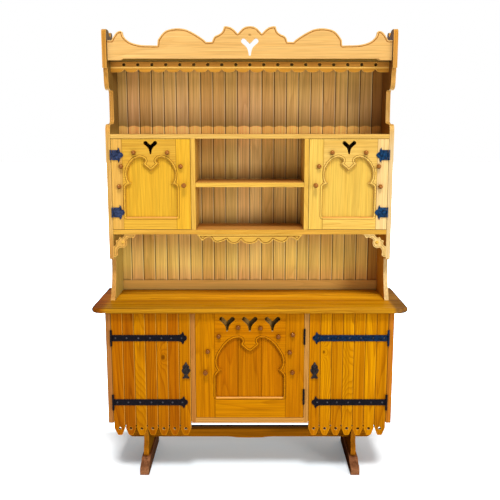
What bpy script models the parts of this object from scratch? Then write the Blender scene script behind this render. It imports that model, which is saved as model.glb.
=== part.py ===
"""Kitchen dresser: a trestle-footed base, a worktop and an open hutch, in separate pieces."""
import math

import bmesh
import bpy
from mathutils import Matrix, Vector
from mathutils.geometry import delaunay_2d_cdt

# Fits and edges
joint_gap = 0.0003
door_gap = 0.002
soft_edge = 0.0015
weld_distance = 0.000001
curve_steps = 2
flat_angle = 0.001
half_share = 0.5
inside_without_holes = 2

# Worktop
worktop_width = 1.424
worktop_depth = 0.436
worktop_top = 0.808
worktop_thickness = 0.023
worktop_nose = 0.0095
worktop_corner = 0.050
corner_points = 6
worktop_bottom = worktop_top - worktop_thickness
worktop_front = -worktop_depth * half_share

# Trestle under the base
trestle_height = 0.259
foot_short_of_worktop = 0.031
foot_half_length = worktop_depth * half_share - foot_short_of_worktop
foot_height = 0.060
foot_thickness = 0.042
trestle_inset = 0.1585
post_thickness = 0.023
post_tenon = 0.031
bearer_thickness = 0.042
bearer_height = 0.0547
bearer_low = trestle_height - joint_gap - bearer_height
post_low = foot_height + joint_gap
post_height = bearer_low + post_tenon - post_low
stretcher_past_post = 0.097
stretcher_thickness = 0.026
stretcher_top = 0.163
stretcher_bottom = 0.113

# Base carcass
worktop_overhang = 0.028
base_front = worktop_front + worktop_overhang
base_back_face = -worktop_front - worktop_overhang
worktop_end_overhang = 0.0615
base_half_width = worktop_width * half_share - worktop_end_overhang
board_thickness = 0.020
base_side_thickness = 0.024
base_bottom_thickness = 0.026
base_bottom_low = trestle_height
base_bottom_high = base_bottom_low + base_bottom_thickness
partition_inner = 0.2475
partition_outer = partition_inner + board_thickness
trestle_centre = base_half_width - trestle_inset
stretcher_half_length = trestle_centre + stretcher_past_post
base_side_inner = base_half_width - base_side_thickness
back_thickness = 0.012
plank_thickness = 0.020
behind_planks = 0.0023
base_back_front = base_back_face - back_thickness
base_shelf_rise = 0.261
base_shelf_low = base_bottom_low + base_shelf_rise
base_shelf_thickness = 0.018
base_shelf_setback = 0.040
base_shelf_front = base_front + base_shelf_setback
base_shelf_halving = 0.010

# Plank doors of the base
plank_count = 7
tongue_drop = 0.058
tongue_slot = 0.0455
tongue_hole = 0.032
tongue_taper = 0.0345
plank_bottom = base_bottom_low - tongue_drop
plank_gap_top = plank_bottom + tongue_slot
plank_hole_height = plank_bottom + tongue_hole
plank_hole_radius = 0.006
plank_slot_half = 0.0043
plank_neck_half = 0.0016
plank_shoulder = plank_bottom + tongue_taper
plank_tip_half = 0.0115
plank_tip_corner = 0.0035
groove_half = 0.0022
groove_depth = 0.0022
ledge_thickness = 0.014
ledge_half_height = 0.030
ledge_inset = 0.022
hole_points = 12
slot_points = 6

# Middle door of the base
middle_door_low = base_bottom_high + door_gap
arch_rise = 0.0975
arch_low = middle_door_low + arch_rise
arch_half = 0.154
fork_below_top = 0.031
fork_height = worktop_bottom - fork_below_top
fork_drop = 0.057
fork_spread = 0.102
fork_to_arch = 0.031
arch_height = fork_height - fork_drop - fork_to_arch - arch_low
peg_radius = 0.010
peg_rise = 0.0085
knob_radius = 0.0095
knob_length = 0.028
peg_sink = 0.002
panel_thickness = 0.008
panel_recess = 0.010
panel_lap = 0.010

# Hutch carcass
hutch_setback = 0.164
hutch_back_inset = 0.018
hutch_front = worktop_front + hutch_setback
hutch_rear = -worktop_front - hutch_back_inset
hutch_depth = hutch_rear - hutch_front
hutch_inside_base = 0.0025
hutch_half_width = base_half_width - hutch_inside_base
hutch_height = 1.2187
hutch_side_inner = hutch_half_width - board_thickness
hutch_foot = worktop_top + joint_gap
back_recess = 0.016
back_rear = hutch_rear - back_recess
back_face = back_rear - back_thickness
back_board_pitch = 0.0583
back_groove_depth = 0.0025
back_rail_height = 0.0467
back_rail_top = hutch_foot + back_rail_height
back_rail_thickness = 0.004
roof_below_top = 0.1325
roof_low = hutch_foot + hutch_height - roof_below_top
roof_thickness = 0.016
cupboard_rise = 0.3097
cupboard_floor_thickness = 0.022
cupboard_height = 0.413
plate_shelf_thickness = 0.020
cupboard_low = hutch_foot + cupboard_rise
cupboard_floor_top = cupboard_low + cupboard_floor_thickness
cupboard_high = cupboard_floor_top + cupboard_height
plate_shelf_top = cupboard_high + plate_shelf_thickness
niche_height = 0.195
niche_low = cupboard_floor_top + niche_height
niche_thickness = 0.021
niche_setback = 0.002
hutch_partition_inner = partition_inner
hutch_partition_outer = hutch_partition_inner + board_thickness
apron_end_gap = 0.0045
apron_half_length = hutch_partition_inner - apron_end_gap
apron_height = 0.0427
apron_thickness = 0.016
bracket_height = 0.1049
bracket_thickness = 0.016
bracket_corner_x = hutch_side_inner - joint_gap
crest_end_gap = 0.002
crest_half_length = hutch_side_inner - crest_end_gap
crest_forward = 0.004
crest_thickness = 0.018
crest_height = 0.144
crest_over_roof = 0.0005
crest_low = roof_low + crest_over_roof
crest_fork_rise = 0.082
crest_fork_height = crest_low + crest_fork_rise
crest_fork_drop = 0.063
valance_setback = 0.066
valance_thickness = 0.014
valance_height = 0.046
valance_low = roof_low - valance_height
valance_cusp_rise = 0.0145
valance_hole_rise = 0.033
valance_hole_height = valance_low + valance_hole_rise
valance_hole_radius = 0.008
valance_holes_each_side = 9
valance_end_share = 0.948
valance_pitch = (hutch_side_inner - joint_gap) / (valance_holes_each_side + valance_end_share)
scallop_points = 3

# Doors of the hutch
upper_rail_height = 0.059
upper_arch_low = cupboard_floor_top + upper_rail_height
upper_arch_half = 0.117
upper_fork_below_top = 0.019
upper_fork_height = cupboard_high - upper_fork_below_top
upper_fork_drop = 0.050
upper_fork_to_arch = 0.014
upper_arch_height = upper_fork_height - upper_fork_drop - upper_fork_to_arch - upper_arch_low

# Hinges
strap_end_gap = 0.014
strap_half_height = 0.0142
strap_above_bottom = 0.102
strap_below_top = 0.119
strap_heights = [base_bottom_low + strap_above_bottom, worktop_bottom - strap_below_top]
strap_thickness = 0.003
strap_barrel_radius = 0.005
strap_barrel_height = 0.075
strap_knuckle = 0.030
leaf_length = 0.057
leaf_above_floor = 0.080
leaf_below_top = 0.073
leaf_heights = [cupboard_floor_top + leaf_above_floor, cupboard_high - leaf_below_top]
leaf_thickness = 0.003
leaf_barrel_radius = 0.0045
leaf_barrel_height = 0.046
leaf_knuckle = 0.018
butt_above_bottom = 0.103
butt_below_top = 0.112
butt_heights = [base_bottom_high + butt_above_bottom, worktop_bottom - butt_below_top]
butt_barrel_height = 0.074
butt_knuckle = 0.028
butt_leaf_depth = 0.017
butt_leaf_sink = 0.0003
pin_radius = 0.0018
pin_clearance = 0.0003
barrel_off_face = 0.0005
hidden_leaf_thickness = 0.0014
hidden_leaf_depth = 0.017
barrel_chamfer = 0.0012
barrel_segments = 8

# Drop pulls
pull_height = 0.078
pull_below_top = 0.2305
pull_top = worktop_bottom - pull_below_top
pull_insets = [0.0205, 0.025]
backplate_thickness = 0.002
pull_pin_radius = 0.0015
pull_lug_radius = 0.0042
pull_lug_inner = 0.0055
pull_lug_outer = 0.0088
pull_pivot_drop = 0.018
pull_eye_radius = 0.0038
drop_thickness = 0.003

# Half the crest board from its middle, as shares of half its length and of its height
crest_top_shares = [
    [(0.0000, 1.0000), (0.0288, 0.9861), (0.0543, 0.9236), (0.0847, 0.7847)],
    [(0.0847, 0.7847), (0.1086, 0.8958), (0.1358, 0.9722), (0.1677, 1.0000)],
    [(0.1677, 1.0000), (0.1821, 0.9861)],
    [(0.1821, 0.9861), (0.1885, 0.8819), (0.2013, 0.8056), (0.2220, 0.7500)],
    [(0.2220, 0.7500), (0.2396, 0.7222), (0.2524, 0.6736), (0.2604, 0.6042), (0.2644, 0.5417)],
    [(0.2644, 0.5417), (0.3051, 0.5347)],
    [(0.3051, 0.5347), (0.3195, 0.5972), (0.3403, 0.6597), (0.3834, 0.7778), (0.4393, 0.8958),
     (0.4920, 0.9375), (0.5431, 0.9236), (0.5911, 0.8611), (0.6230, 0.7292), (0.6454, 0.5903)],
    [(0.6454, 0.5903), (0.6486, 0.4306)],
    [(0.6486, 0.4306), (0.7029, 0.4375), (0.7588, 0.4444), (0.8147, 0.4931), (0.8562, 0.5764),
     (0.8850, 0.7083), (0.8914, 0.8264)],
    [(0.8914, 0.8264), (0.9002, 0.8542), (0.9089, 0.8611), (0.9297, 0.8264), (0.9521, 0.7153),
     (0.9696, 0.5833)],
    [(0.9696, 0.5833), (1.0000, 0.5833)],
    [(1.0000, 0.5833), (1.0000, 0.0000)],
    [(1.0000, 0.0000), (0.9185, 0.0000)],
    [(0.9185, 0.0000), (0.9089, 0.0069), (0.9010, 0.0278), (0.8914, 0.0486)],
    [(0.8914, 0.0486), (0.0000, 0.0486)],
]

# Side board of the hutch from its front foot upward, as shares of its depth and of its height
side_profile_shares = [
    [(-0.0197, 0.0000), (0.0079, 0.0080), (0.0472, 0.0244), (0.0906, 0.0441), (0.1417, 0.0711),
     (0.1732, 0.0999), (0.1890, 0.1286), (0.1969, 0.1573)],
    [(0.1969, 0.1573), (0.0157, 0.1589)],
    [(0.0157, 0.1589), (0.0000, 0.1622)],
    [(0.0000, 0.1622), (0.0000, 0.6398)],
    [(0.0000, 0.6398), (0.0118, 0.6513), (0.0472, 0.6595), (0.1024, 0.6636), (0.2126, 0.6644),
     (0.3504, 0.6660), (0.4213, 0.6718), (0.4449, 0.6866)],
    [(0.4449, 0.6866), (0.4449, 0.7810)],
    [(0.4449, 0.7810), (0.4094, 0.7868), (0.3465, 0.7884), (0.2362, 0.7868), (0.1417, 0.7884),
     (0.0827, 0.7942), (0.0433, 0.8055), (0.0236, 0.8235), (0.0157, 0.8474)],
    [(0.0157, 0.8474), (0.0039, 0.8490)],
    [(0.0039, 0.8490), (0.0000, 0.8548), (0.0000, 0.8638)],
    [(0.0000, 0.8638), (-0.0709, 0.8638)],
    [(-0.0709, 0.8638), (-0.0709, 0.9811)],
    [(-0.0709, 0.9811), (-0.0630, 0.9918), (-0.0354, 0.9984), (0.0000, 1.0000), (0.0433, 1.0000),
     (0.1417, 0.9992), (0.2008, 0.9951), (0.2283, 0.9874), (0.2756, 0.9828), (0.3346, 0.9811)],
    [(0.3346, 0.9811), (0.3622, 0.9869), (0.3780, 0.9951), (0.4331, 0.9984), (0.4921, 0.9967),
     (0.5276, 0.9926), (0.5354, 0.9828), (0.5197, 0.9721), (0.5512, 0.9647)],
    [(0.5512, 0.9647), (0.6024, 0.9590), (0.6890, 0.9442), (0.7835, 0.9303), (0.8425, 0.9204)],
    [(0.8425, 0.9204), (1.0000, 0.9204)],
    [(1.0000, 0.9204), (1.0000, 0.0000)],
    [(1.0000, 0.0000), (-0.0197, 0.0000)],
]

# Scrolled corner bracket from the inner corner it sits in, as shares of its height
bracket_shares = [
    [(-0.9857, 0.0000), (-0.8723, -0.1659)],
    [(-0.8723, -0.1659), (-0.7884, -0.1306), (-0.6740, -0.1497), (-0.5510, -0.2326)],
    [(-0.5510, -0.2326), (-0.5806, -0.3594), (-0.5643, -0.4766), (-0.4881, -0.5643), (-0.3794,
     -0.5958), (-0.2698, -0.5739)],
    [(-0.2698, -0.5739), (-0.1859, -0.6587), (-0.1506, -0.7865), (-0.1725, -0.9152)],
    [(-0.1725, -0.9152), (-0.1020, -0.9790), (0.0000, -1.0000)],
    [(0.0000, -1.0000), (0.0000, -0.5300)],
    [(0.0000, -0.5300), (-0.0782, -0.5024), (-0.1354, -0.3975), (-0.1030, -0.2774)],
    [(-0.1030, -0.2774), (-0.2164, -0.2450), (-0.2784, -0.1134)],
    [(-0.2784, -0.1134), (-0.3403, -0.1497), (-0.4500, -0.1220), (-0.5195, 0.0000)],
    [(-0.5195, 0.0000), (-0.9857, 0.0000)],
]

# Half the scalloped apron from its end to its middle, as shares of half its length and of its height
apron_shares = [
    [(1.0000, 0.0000), (0.8971, -0.6721)],
    [(0.8971, -0.6721), (0.8477, -0.4145), (0.7942, -0.2974), (0.7366, -0.2974)],
    [(0.7366, -0.2974), (0.6914, -0.6721), (0.6214, -0.8595), (0.5350, -0.7658), (0.4403, -0.5082)],
    [(0.4403, -0.5082), (0.3786, -0.8829), (0.3004, -1.0000), (0.2222, -0.8829), (0.1646, -0.5082)],
    [(0.1646, -0.5082), (0.1029, -0.8829), (0.0000, -1.0000)],
]

# Right half of the opening in an upper door, as shares of half its width and of its height
upper_arch_shares = [
    [(1.0000, 0.0000), (1.0000, 0.5055)],
    [(1.0000, 0.5055), (0.9573, 0.5314), (0.8632, 0.5461), (0.7692, 0.5646)],
    [(0.7692, 0.5646), (0.8547, 0.5904), (0.9060, 0.6384), (0.9316, 0.7306), (0.8889, 0.8192),
     (0.7863, 0.9004), (0.6239, 0.9705), (0.4274, 1.0000), (0.3077, 0.9889), (0.2308, 0.9649),
     (0.2137, 0.9391)],
    [(0.2137, 0.9391), (0.2564, 0.9151), (0.3205, 0.8893)],
    [(0.3205, 0.8893), (0.2222, 0.8579), (0.1111, 0.8137), (0.0000, 0.7749)],
]

# Right half of the opening in the middle door, as shares of half its width and of its height
lower_arch_shares = [
    [(1.0000, 0.0000), (1.0000, 0.3641)],
    [(1.0000, 0.3641), (0.9610, 0.3996), (0.9026, 0.4352), (0.8377, 0.4618)],
    [(0.8377, 0.4618), (0.9091, 0.4885), (0.9545, 0.5453), (0.9643, 0.6234), (0.9221, 0.7123),
     (0.8312, 0.7975), (0.7273, 0.8792), (0.5974, 0.9503), (0.4545, 0.9929), (0.3084, 1.0000),
     (0.2403, 0.9787), (0.2240, 0.9503)],
    [(0.2240, 0.9503), (0.2468, 0.9183), (0.2857, 0.8899)],
    [(0.2857, 0.8899), (0.2078, 0.8545), (0.1169, 0.8083), (0.0584, 0.7850), (0.0000, 0.7762)],
]

# Right half of the forked cut-out, measured from the height of its arm ends, as shares of its drop
fork_shares = [
    [(0.0000, -0.1800), (0.1800, -0.0200), (0.3100, 0.1200)],
    [(0.3100, 0.1200), (0.3900, 0.1720), (0.4900, 0.1660), (0.5800, 0.1000), (0.6120, 0.0000),
     (0.5860, -0.1000), (0.5300, -0.1600)],
    [(0.5300, -0.1600), (0.3600, -0.3000), (0.2200, -0.4400), (0.1400, -0.6000)],
    [(0.1400, -0.6000), (0.0920, -0.8000), (0.0640, -1.0000)],
    [(0.0640, -1.0000), (0.0000, -1.0000)],
]

# Upper half of a long strap from the pin to its tip, as shares of its length and of half its height
strap_shares = [
    [(0.0089, 1.0000), (0.8876, 1.0000)],
    [(0.8876, 1.0000), (0.9142, 1.1620), (0.9320, 1.4789), (0.9438, 2.0423)],
    [(0.9438, 2.0423), (0.9571, 1.6197), (0.9645, 0.8803)],
    [(0.9645, 0.8803), (0.9822, 0.7746), (0.9956, 0.4225), (1.0000, 0.0000)],
]

# Upper half of a short hinge leaf, from the pin to its tip, as shares of its length
leaf_shares = [
    [(0.0965, 0.3947), (0.5263, 0.3947)],
    [(0.5263, 0.3947), (0.5877, 0.4649), (0.5877, 0.5965)],
    [(0.5877, 0.5965), (0.6754, 0.5000), (0.7281, 0.3684), (0.7368, 0.2544)],
    [(0.7368, 0.2544), (0.8246, 0.2105), (0.9298, 0.1316), (1.0000, 0.0000)],
]

# Right half of the plate behind a drop pull, from its top tip, as shares of the height of the pull
backplate_shares = [
    [(0.0000, 0.0000), (0.0577, -0.1026), (0.1026, -0.1795), (0.1923, -0.2885)],
    [(0.1923, -0.2885), (0.1987, -0.3462), (0.1667, -0.3974)],
    [(0.1667, -0.3974), (0.2308, -0.4615), (0.2526, -0.5256)],
    [(0.2526, -0.5256), (0.2115, -0.6410), (0.1282, -0.7308)],
    [(0.1282, -0.7308), (0.0000, -0.7821)],
]

# Right half of the hanging drop, as shares of the height of the pull
drop_shares = [
    [(0.0590, -0.2564), (0.0590, -0.3462)],
    [(0.0590, -0.3462), (0.0962, -0.4615), (0.1103, -0.5897), (0.0949, -0.7308)],
    [(0.0949, -0.7308), (0.1218, -0.8462), (0.2244, -0.9744)],
    [(0.2244, -0.9744), (0.1154, -1.0000), (0.0000, -0.9679)],
]

# Front half of a foot from its toe, as shares of half its length and of its height
foot_shares = [
    [(-1.0000, 0.0000), (-1.0000, 0.3333)],
    [(-1.0000, 0.3333), (-0.9840, 0.5167), (-0.9251, 0.6333), (-0.8396, 0.6833), (-0.7594, 0.7667),
     (-0.7059, 0.9167), (-0.6631, 1.0000)],
    [(-0.6631, 1.0000), (0.0000, 1.0000)],
]

# Front half of a trestle post, as shares of half the length of the foot and of its own height
upright_shares = [
    [(-0.5882, 0.0000), (-0.6203, 0.1128), (-0.5989, 0.2559), (-0.5348, 0.3990), (-0.5348, 0.5421),
     (-0.6096, 0.6852), (-0.6524, 0.7997), (-0.6524, 1.0000)],
    [(-0.6524, 1.0000), (0.0000, 1.0000)],
]

# Front half of the bearer on a post, as shares of half the length of the foot and of its own height
bearer_shares = [
    [(-0.8824, 1.0000), (-0.8824, 0.7130)],
    [(-0.8824, 0.7130), (-0.8663, 0.4753), (-0.8128, 0.3291), (-0.7540, 0.3473), (-0.7219, 0.4570)],
    [(-0.7219, 0.4570), (-0.6952, 0.1645), (-0.6364, 0.0000), (-0.5615, 0.0000)],
    [(-0.5615, 0.0000), (0.0000, 0.0000)],
]

# Half the stretcher from its end to its middle, as shares of half its length and of its height
stretcher_shares = [
    [(1.0000, 1.0000), (1.0000, 0.3051)],
    [(1.0000, 0.3051), (0.9932, 0.1186), (0.9762, 0.0000)],
    [(0.9762, 0.0000), (0.1868, 0.0000)],
    [(0.1868, 0.0000), (0.1443, -0.0339), (0.1019, -0.1017)],
    [(0.1019, -0.1017), (0.0000, -0.1186)],
]

# Where the driven pegs show, as shares of half the width and of the height of their door
middle_peg_shares = [
    (-0.214, 0.867),
    (0.196, 0.861),
    (-0.570, 0.783),
    (0.525, 0.779),
    (-0.774, 0.639),
    (0.737, 0.631),
    (0.790, 0.440),
    (0.790, 0.797),
]
middle_knob_share = (-0.817, 0.446)
upper_peg_shares = [
    (-0.426, 0.853),
    (0.426, 0.853),
    (-0.757, 0.702),
    (0.757, 0.702),
    (0.813, 0.479),
]
upper_knob_share = (-0.836, 0.494)

# Colours of the wood and the iron
pale_wood = (0.78, 0.47, 0.15)
golden_wood = (0.74, 0.42, 0.06)
edge_wood = (0.78, 0.48, 0.12)
back_wood = (0.36, 0.20, 0.07)
amber_wood = (0.55, 0.25, 0.01)
top_wood = (0.50, 0.18, 0.02)
tan_wood = (0.55, 0.28, 0.08)
brown_wood = (0.26, 0.10, 0.03)
black_iron = (0.012, 0.014, 0.022)
wood_roughness = 0.42
iron_roughness = 0.55


def fresh_scene():
    """Clear the scene and make one collection for the dresser and one for its cutters."""
    for ob in list(bpy.data.objects):
        bpy.data.objects.remove(ob, do_unlink=True)
    groups = []
    for title in ("kitchen_dresser", "cutters"):
        group = bpy.data.collections.new(title)
        bpy.context.scene.collection.children.link(group)
        groups.append(group)
    return groups


dresser, cutters = fresh_scene()


def stain(ob, colour, roughness, metal):
    """Give a piece its own wood or iron surface."""
    surface = bpy.data.materials.new(ob.name + "_surface")
    surface.use_nodes = True
    shader = surface.node_tree.nodes["Principled BSDF"]
    shader.inputs["Base Color"].default_value = (*colour, 1.0)
    shader.inputs["Roughness"].default_value = roughness
    shader.inputs["Metallic"].default_value = metal
    surface.diffuse_color = (*colour, 1.0)
    ob.data.materials.clear()
    ob.data.materials.append(surface)


def face_out(bm):
    """Turn every face of a closed piece outward."""
    bmesh.ops.recalc_face_normals(bm, faces=bm.faces)
    if bm.calc_volume(signed=True) < 0:
        bmesh.ops.reverse_faces(bm, faces=bm.faces)


def keep(name, mesh, colour=None, iron=False):
    """Put a finished mesh into the dresser, or among the cutters when it has no colour."""
    ob = bpy.data.objects.new(name, mesh)
    if colour is None:
        cutters.objects.link(ob)
        ob.hide_render = True
        ob.display_type = "WIRE"
        return ob
    dresser.objects.link(ob)
    stain(ob, colour, iron_roughness if iron else wood_roughness, 1.0 if iron else 0.0)
    return ob


def box_into(bm, low, high):
    """Add one rectangular block to a mesh in the making."""
    spans = [high[i] - low[i] for i in range(3)]
    middle = [(high[i] + low[i]) * half_share for i in range(3)]
    shape = Matrix.Translation(middle) @ Matrix.Diagonal((*spans, 1.0))
    bmesh.ops.create_cube(bm, size=1.0, matrix=shape)


def blocks(name, pairs, colour=None):
    """One mesh of one or more separate rectangular blocks."""
    bm = bmesh.new()
    for low, high in pairs:
        box_into(bm, low, high)
    mesh = bpy.data.meshes.new(name)
    bm.to_mesh(mesh)
    bm.free()
    return keep(name, mesh, colour)


def board(name, low, high, colour):
    """A planed board with its sharp edges taken off."""
    ob = blocks(name, [(low, high)], colour)
    soften(ob, soft_edge, 1)
    return ob


def soften(ob, width, segments):
    """Round over every sharp edge of a piece."""
    bm = bmesh.new()
    bm.from_mesh(ob.data)
    level = [e for e in bm.edges if e.calc_face_angle() < flat_angle]
    bmesh.ops.dissolve_edges(bm, edges=level)
    bm.to_mesh(ob.data)
    bm.free()
    edge = ob.modifiers.new("soft_edge", "BEVEL")
    edge.width = width
    edge.segments = segments
    edge.limit_method = "ANGLE"
    edge.angle_limit = math.radians(40)
    edge.use_clamp_overlap = True


def smooth(run, steps):
    """Points along a smooth curve through a run, without its last point."""
    if len(run) == 2:
        return [run[0]]
    points = []
    last = len(run) - 1
    for i in range(last):
        before = run[max(i - 1, 0)]
        start = run[i]
        end = run[i + 1]
        after = run[min(i + 2, last)]
        for step in range(steps):
            t = step / steps
            weights = (
                (-t + 2 * t**2 - t**3) * half_share,
                (2 - 5 * t**2 + 3 * t**3) * half_share,
                (t + 4 * t**2 - 3 * t**3) * half_share,
                (t**3 - t**2) * half_share,
            )
            four = (before, start, end, after)
            points.append(tuple(sum(w * p[k] for w, p in zip(weights, four)) for k in range(2)))
    return points


def outline(shares, size, across=0, up=0, closed=False, rise=None, steps=curve_steps):
    """Turn runs of shares into points; an open outline keeps its last point."""
    rise = rise or size
    points = []
    for run in shares:
        points += smooth(run, steps)
    if not closed:
        points.append(shares[-1][-1])
    return [(across + x * size, up + z * rise) for x, z in points]


def mirrored(points, across=0):
    """Close a half outline with its mirror image on the other side of a vertical line."""
    other = [(2 * across - x, z) for x, z in reversed(points) if abs(x - across) > weld_distance]
    return points + other


def flipped(points, up=0):
    """Close an upper half outline with its mirror image under a level line."""
    other = [(x, 2 * up - z) for x, z in reversed(points) if abs(z - up) > weld_distance]
    return points + other


def circle(across, up, radius, count):
    """Points round a circle."""
    turns = [2 * math.pi * i / count for i in range(count)]
    return [(across + radius * math.cos(a), up + radius * math.sin(a)) for a in turns]


def sheet(name, loops, plane, near, far, colour=None, iron=False):
    """Saw a flat piece to its outline, with holes, out of stock of the given thickness."""
    corners = []
    rims = []
    for loop in loops:
        first = len(corners)
        corners += [Vector(point) for point in loop]
        rims.append([first + i for i in range(len(loop))])
    filled = delaunay_2d_cdt(corners, [], rims, inside_without_holes, weld_distance)
    bm = bmesh.new()
    spots = [bm.verts.new((a, b, near)) for a, b in filled[0]]
    flat = [bm.faces.new([spots[i] for i in face]) for face in filled[2]]
    grown = bmesh.ops.extrude_face_region(bm, geom=flat)
    tops = [v for v in grown["geom"] if isinstance(v, bmesh.types.BMVert)]
    bmesh.ops.translate(bm, verts=tops, vec=(0, 0, far - near))
    for v in bm.verts:
        a, b, c = v.co
        if plane == "xz":
            v.co = (a, c, b)
        elif plane == "yz":
            v.co = (c, a, b)
    face_out(bm)
    mesh = bpy.data.meshes.new(name)
    bm.to_mesh(mesh)
    bm.free()
    return keep(name, mesh, colour, iron)


def turned(name, profile, centre, along, ring=False, colour=None, iron=False):
    """Turn a round piece about an axis; a ring keeps its bore open."""
    bm = bmesh.new()
    verts = [bm.verts.new((radius, 0, height)) for radius, height in profile]
    pairs = list(zip(verts, verts[1:]))
    if ring:
        pairs.append((verts[-1], verts[0]))
    for a, b in pairs:
        bm.edges.new((a, b))
    bmesh.ops.spin(
        bm,
        geom=bm.verts[:] + bm.edges[:],
        cent=(0, 0, 0),
        axis=(0, 0, 1),
        angle=2 * math.pi,
        steps=barrel_segments,
    )
    bmesh.ops.remove_doubles(bm, verts=bm.verts, dist=weld_distance * 10)
    turn = Matrix.Identity(4)
    if along == "x":
        turn = Matrix.Rotation(math.radians(90), 4, "Y")
    elif along == "y":
        turn = Matrix.Rotation(math.radians(90), 4, "X")
    bmesh.ops.transform(bm, matrix=Matrix.Translation(centre) @ turn, verts=bm.verts)
    face_out(bm)
    mesh = bpy.data.meshes.new(name)
    bm.to_mesh(mesh)
    bm.free()
    return keep(name, mesh, colour, iron)


def join(target, other, action):
    """Cut one piece out of another, or grow the two into one."""
    change = target.modifiers.new(other.name, "BOOLEAN")
    change.operation = action
    change.solver = "EXACT"
    change.object = other


def hang(ob, pivot):
    """Set the origin of a moving piece on the line it turns about."""
    ob.data.transform(Matrix.Translation(-Vector(pivot)))
    ob.location = pivot


def round_off(ob):
    """Shade a round piece smooth up to its sharp corners."""
    ob.data.shade_smooth()
    ob.data.set_sharp_from_angle(angle=math.radians(35))


def grooves(name, places, face, depth, low, high):
    """A row of upright grooves with slanting sides, to be cut into the face of a piece."""
    bm = bmesh.new()
    for x in places:
        corners = [(x - depth * 2, face - depth), (x + depth * 2, face - depth), (x, face + depth)]
        wedge = bm.faces.new([bm.verts.new((a, b, low)) for a, b in corners])
        grown = bmesh.ops.extrude_face_region(bm, geom=[wedge])
        tops = [v for v in grown["geom"] if isinstance(v, bmesh.types.BMVert)]
        bmesh.ops.translate(bm, verts=tops, vec=(0, 0, high - low))
    face_out(bm)
    mesh = bpy.data.meshes.new(name)
    bm.to_mesh(mesh)
    bm.free()
    return keep(name, mesh)


# Trestle: two feet, two posts with their bearers and the stretcher through them
def trestle(side, label):
    """One foot and one post with its bearer, with a mortise for the stretcher."""
    x = side * trestle_centre
    foot_line = mirrored(outline(foot_shares, foot_half_length, rise=foot_height))
    foot_half = foot_thickness * half_share
    foot = sheet("foot_" + label, [foot_line], "yz", x - foot_half, x + foot_half, brown_wood)
    soften(foot, soft_edge, 1)
    post_line = mirrored(outline(upright_shares, foot_half_length, 0, post_low, rise=post_height))
    post_half = post_thickness * half_share
    mouth = stretcher_thickness * half_share + joint_gap
    mortise = [
        (-mouth, stretcher_bottom - joint_gap),
        (mouth, stretcher_bottom - joint_gap),
        (mouth, stretcher_top + joint_gap),
        (-mouth, stretcher_top + joint_gap),
    ]
    near = x - post_half
    far = x + post_half
    post = sheet("post_" + label, [post_line, mortise], "yz", near, far, brown_wood)
    bearer_line = outline(bearer_shares, foot_half_length, 0, bearer_low, rise=bearer_height)
    bearer_half = bearer_thickness * half_share
    near = x - bearer_half
    far = x + bearer_half
    bearer = sheet("bearer_" + label, [mirrored(bearer_line)], "yz", near, far)
    join(post, bearer, "UNION")


for side, label in ((-1, "left"), (1, "right")):
    trestle(side, label)
stretcher_height = stretcher_top - stretcher_bottom
stretcher_line = outline(
    stretcher_shares, stretcher_half_length, 0, stretcher_bottom, rise=stretcher_height
)
stretcher_half = stretcher_thickness * half_share
sheet("stretcher", [mirrored(stretcher_line)], "xz", -stretcher_half, stretcher_half, brown_wood)

# Base carcass: bottom, sides, partitions, one shelf, back and worktop
bottom_x = base_side_inner - joint_gap
bay_x = partition_inner - joint_gap
behind_doors = base_front + plank_thickness + behind_planks
inside_back = base_back_front - joint_gap
bottom_line = [
    (-bottom_x, behind_doors),
    (-bay_x, behind_doors),
    (-bay_x, base_front),
    (bay_x, base_front),
    (bay_x, behind_doors),
    (bottom_x, behind_doors),
    (bottom_x, inside_back),
    (-bottom_x, inside_back),
]
sheet("base_bottom", [bottom_line], "xy", base_bottom_low, base_bottom_high, tan_wood)
under_top = worktop_bottom - joint_gap
partition_foot = base_bottom_high + joint_gap
slot_low = base_shelf_low - joint_gap
slot_high = base_shelf_low + base_shelf_thickness + joint_gap
partition_line = [
    (base_front, base_bottom_low),
    (behind_doors - joint_gap, base_bottom_low),
    (behind_doors - joint_gap, partition_foot),
    (inside_back, partition_foot),
    (inside_back, slot_low),
    (base_shelf_halving, slot_low),
    (base_shelf_halving, slot_high),
    (inside_back, slot_high),
    (inside_back, under_top),
    (base_front, under_top),
]
for side, label in ((-1, "left"), (1, "right")):
    ends = sorted((side * partition_inner, side * partition_outer))
    name = "base_partition_" + label
    sheet(name, [partition_line], "yz", ends[0], ends[1], tan_wood)
    ends = sorted((side * base_side_inner, side * base_half_width))
    low = (ends[0], base_front, base_bottom_low)
    high = (ends[1], base_back_face, under_top)
    board("base_side_" + label, low, high, tan_wood)
shelf_cut = base_shelf_halving + joint_gap
shelf_line = [(-bottom_x, base_shelf_front)]
for side in (-1, 1):
    inner = partition_inner - joint_gap
    outer = partition_outer + joint_gap
    walls = sorted((side * inner, side * outer))
    shelf_line += [(walls[0], base_shelf_front), (walls[0], shelf_cut)]
    shelf_line += [(walls[1], shelf_cut), (walls[1], base_shelf_front)]
shelf_line += [(bottom_x, base_shelf_front), (bottom_x, inside_back), (-bottom_x, inside_back)]
shelf_high = base_shelf_low + base_shelf_thickness
sheet("base_shelf", [shelf_line], "xy", base_shelf_low, shelf_high, tan_wood)
low = (-bottom_x, base_back_front, base_bottom_low)
high = (bottom_x, base_back_face, under_top)
board("base_back", low, high, tan_wood)


def worktop_outline():
    """Rectangle with its two front corners rounded."""
    points = []
    for side, start in ((-1, math.pi), (1, 1.5 * math.pi)):
        across = side * (worktop_width * half_share - worktop_corner)
        up = worktop_front + worktop_corner
        for i in range(corner_points + 1):
            a = start + half_share * math.pi * i / corner_points
            points.append((across + worktop_corner * math.cos(a), up + worktop_corner * math.sin(a)))
    points.append((worktop_width * half_share, -worktop_front))
    points.append((-worktop_width * half_share, -worktop_front))
    return points


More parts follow.
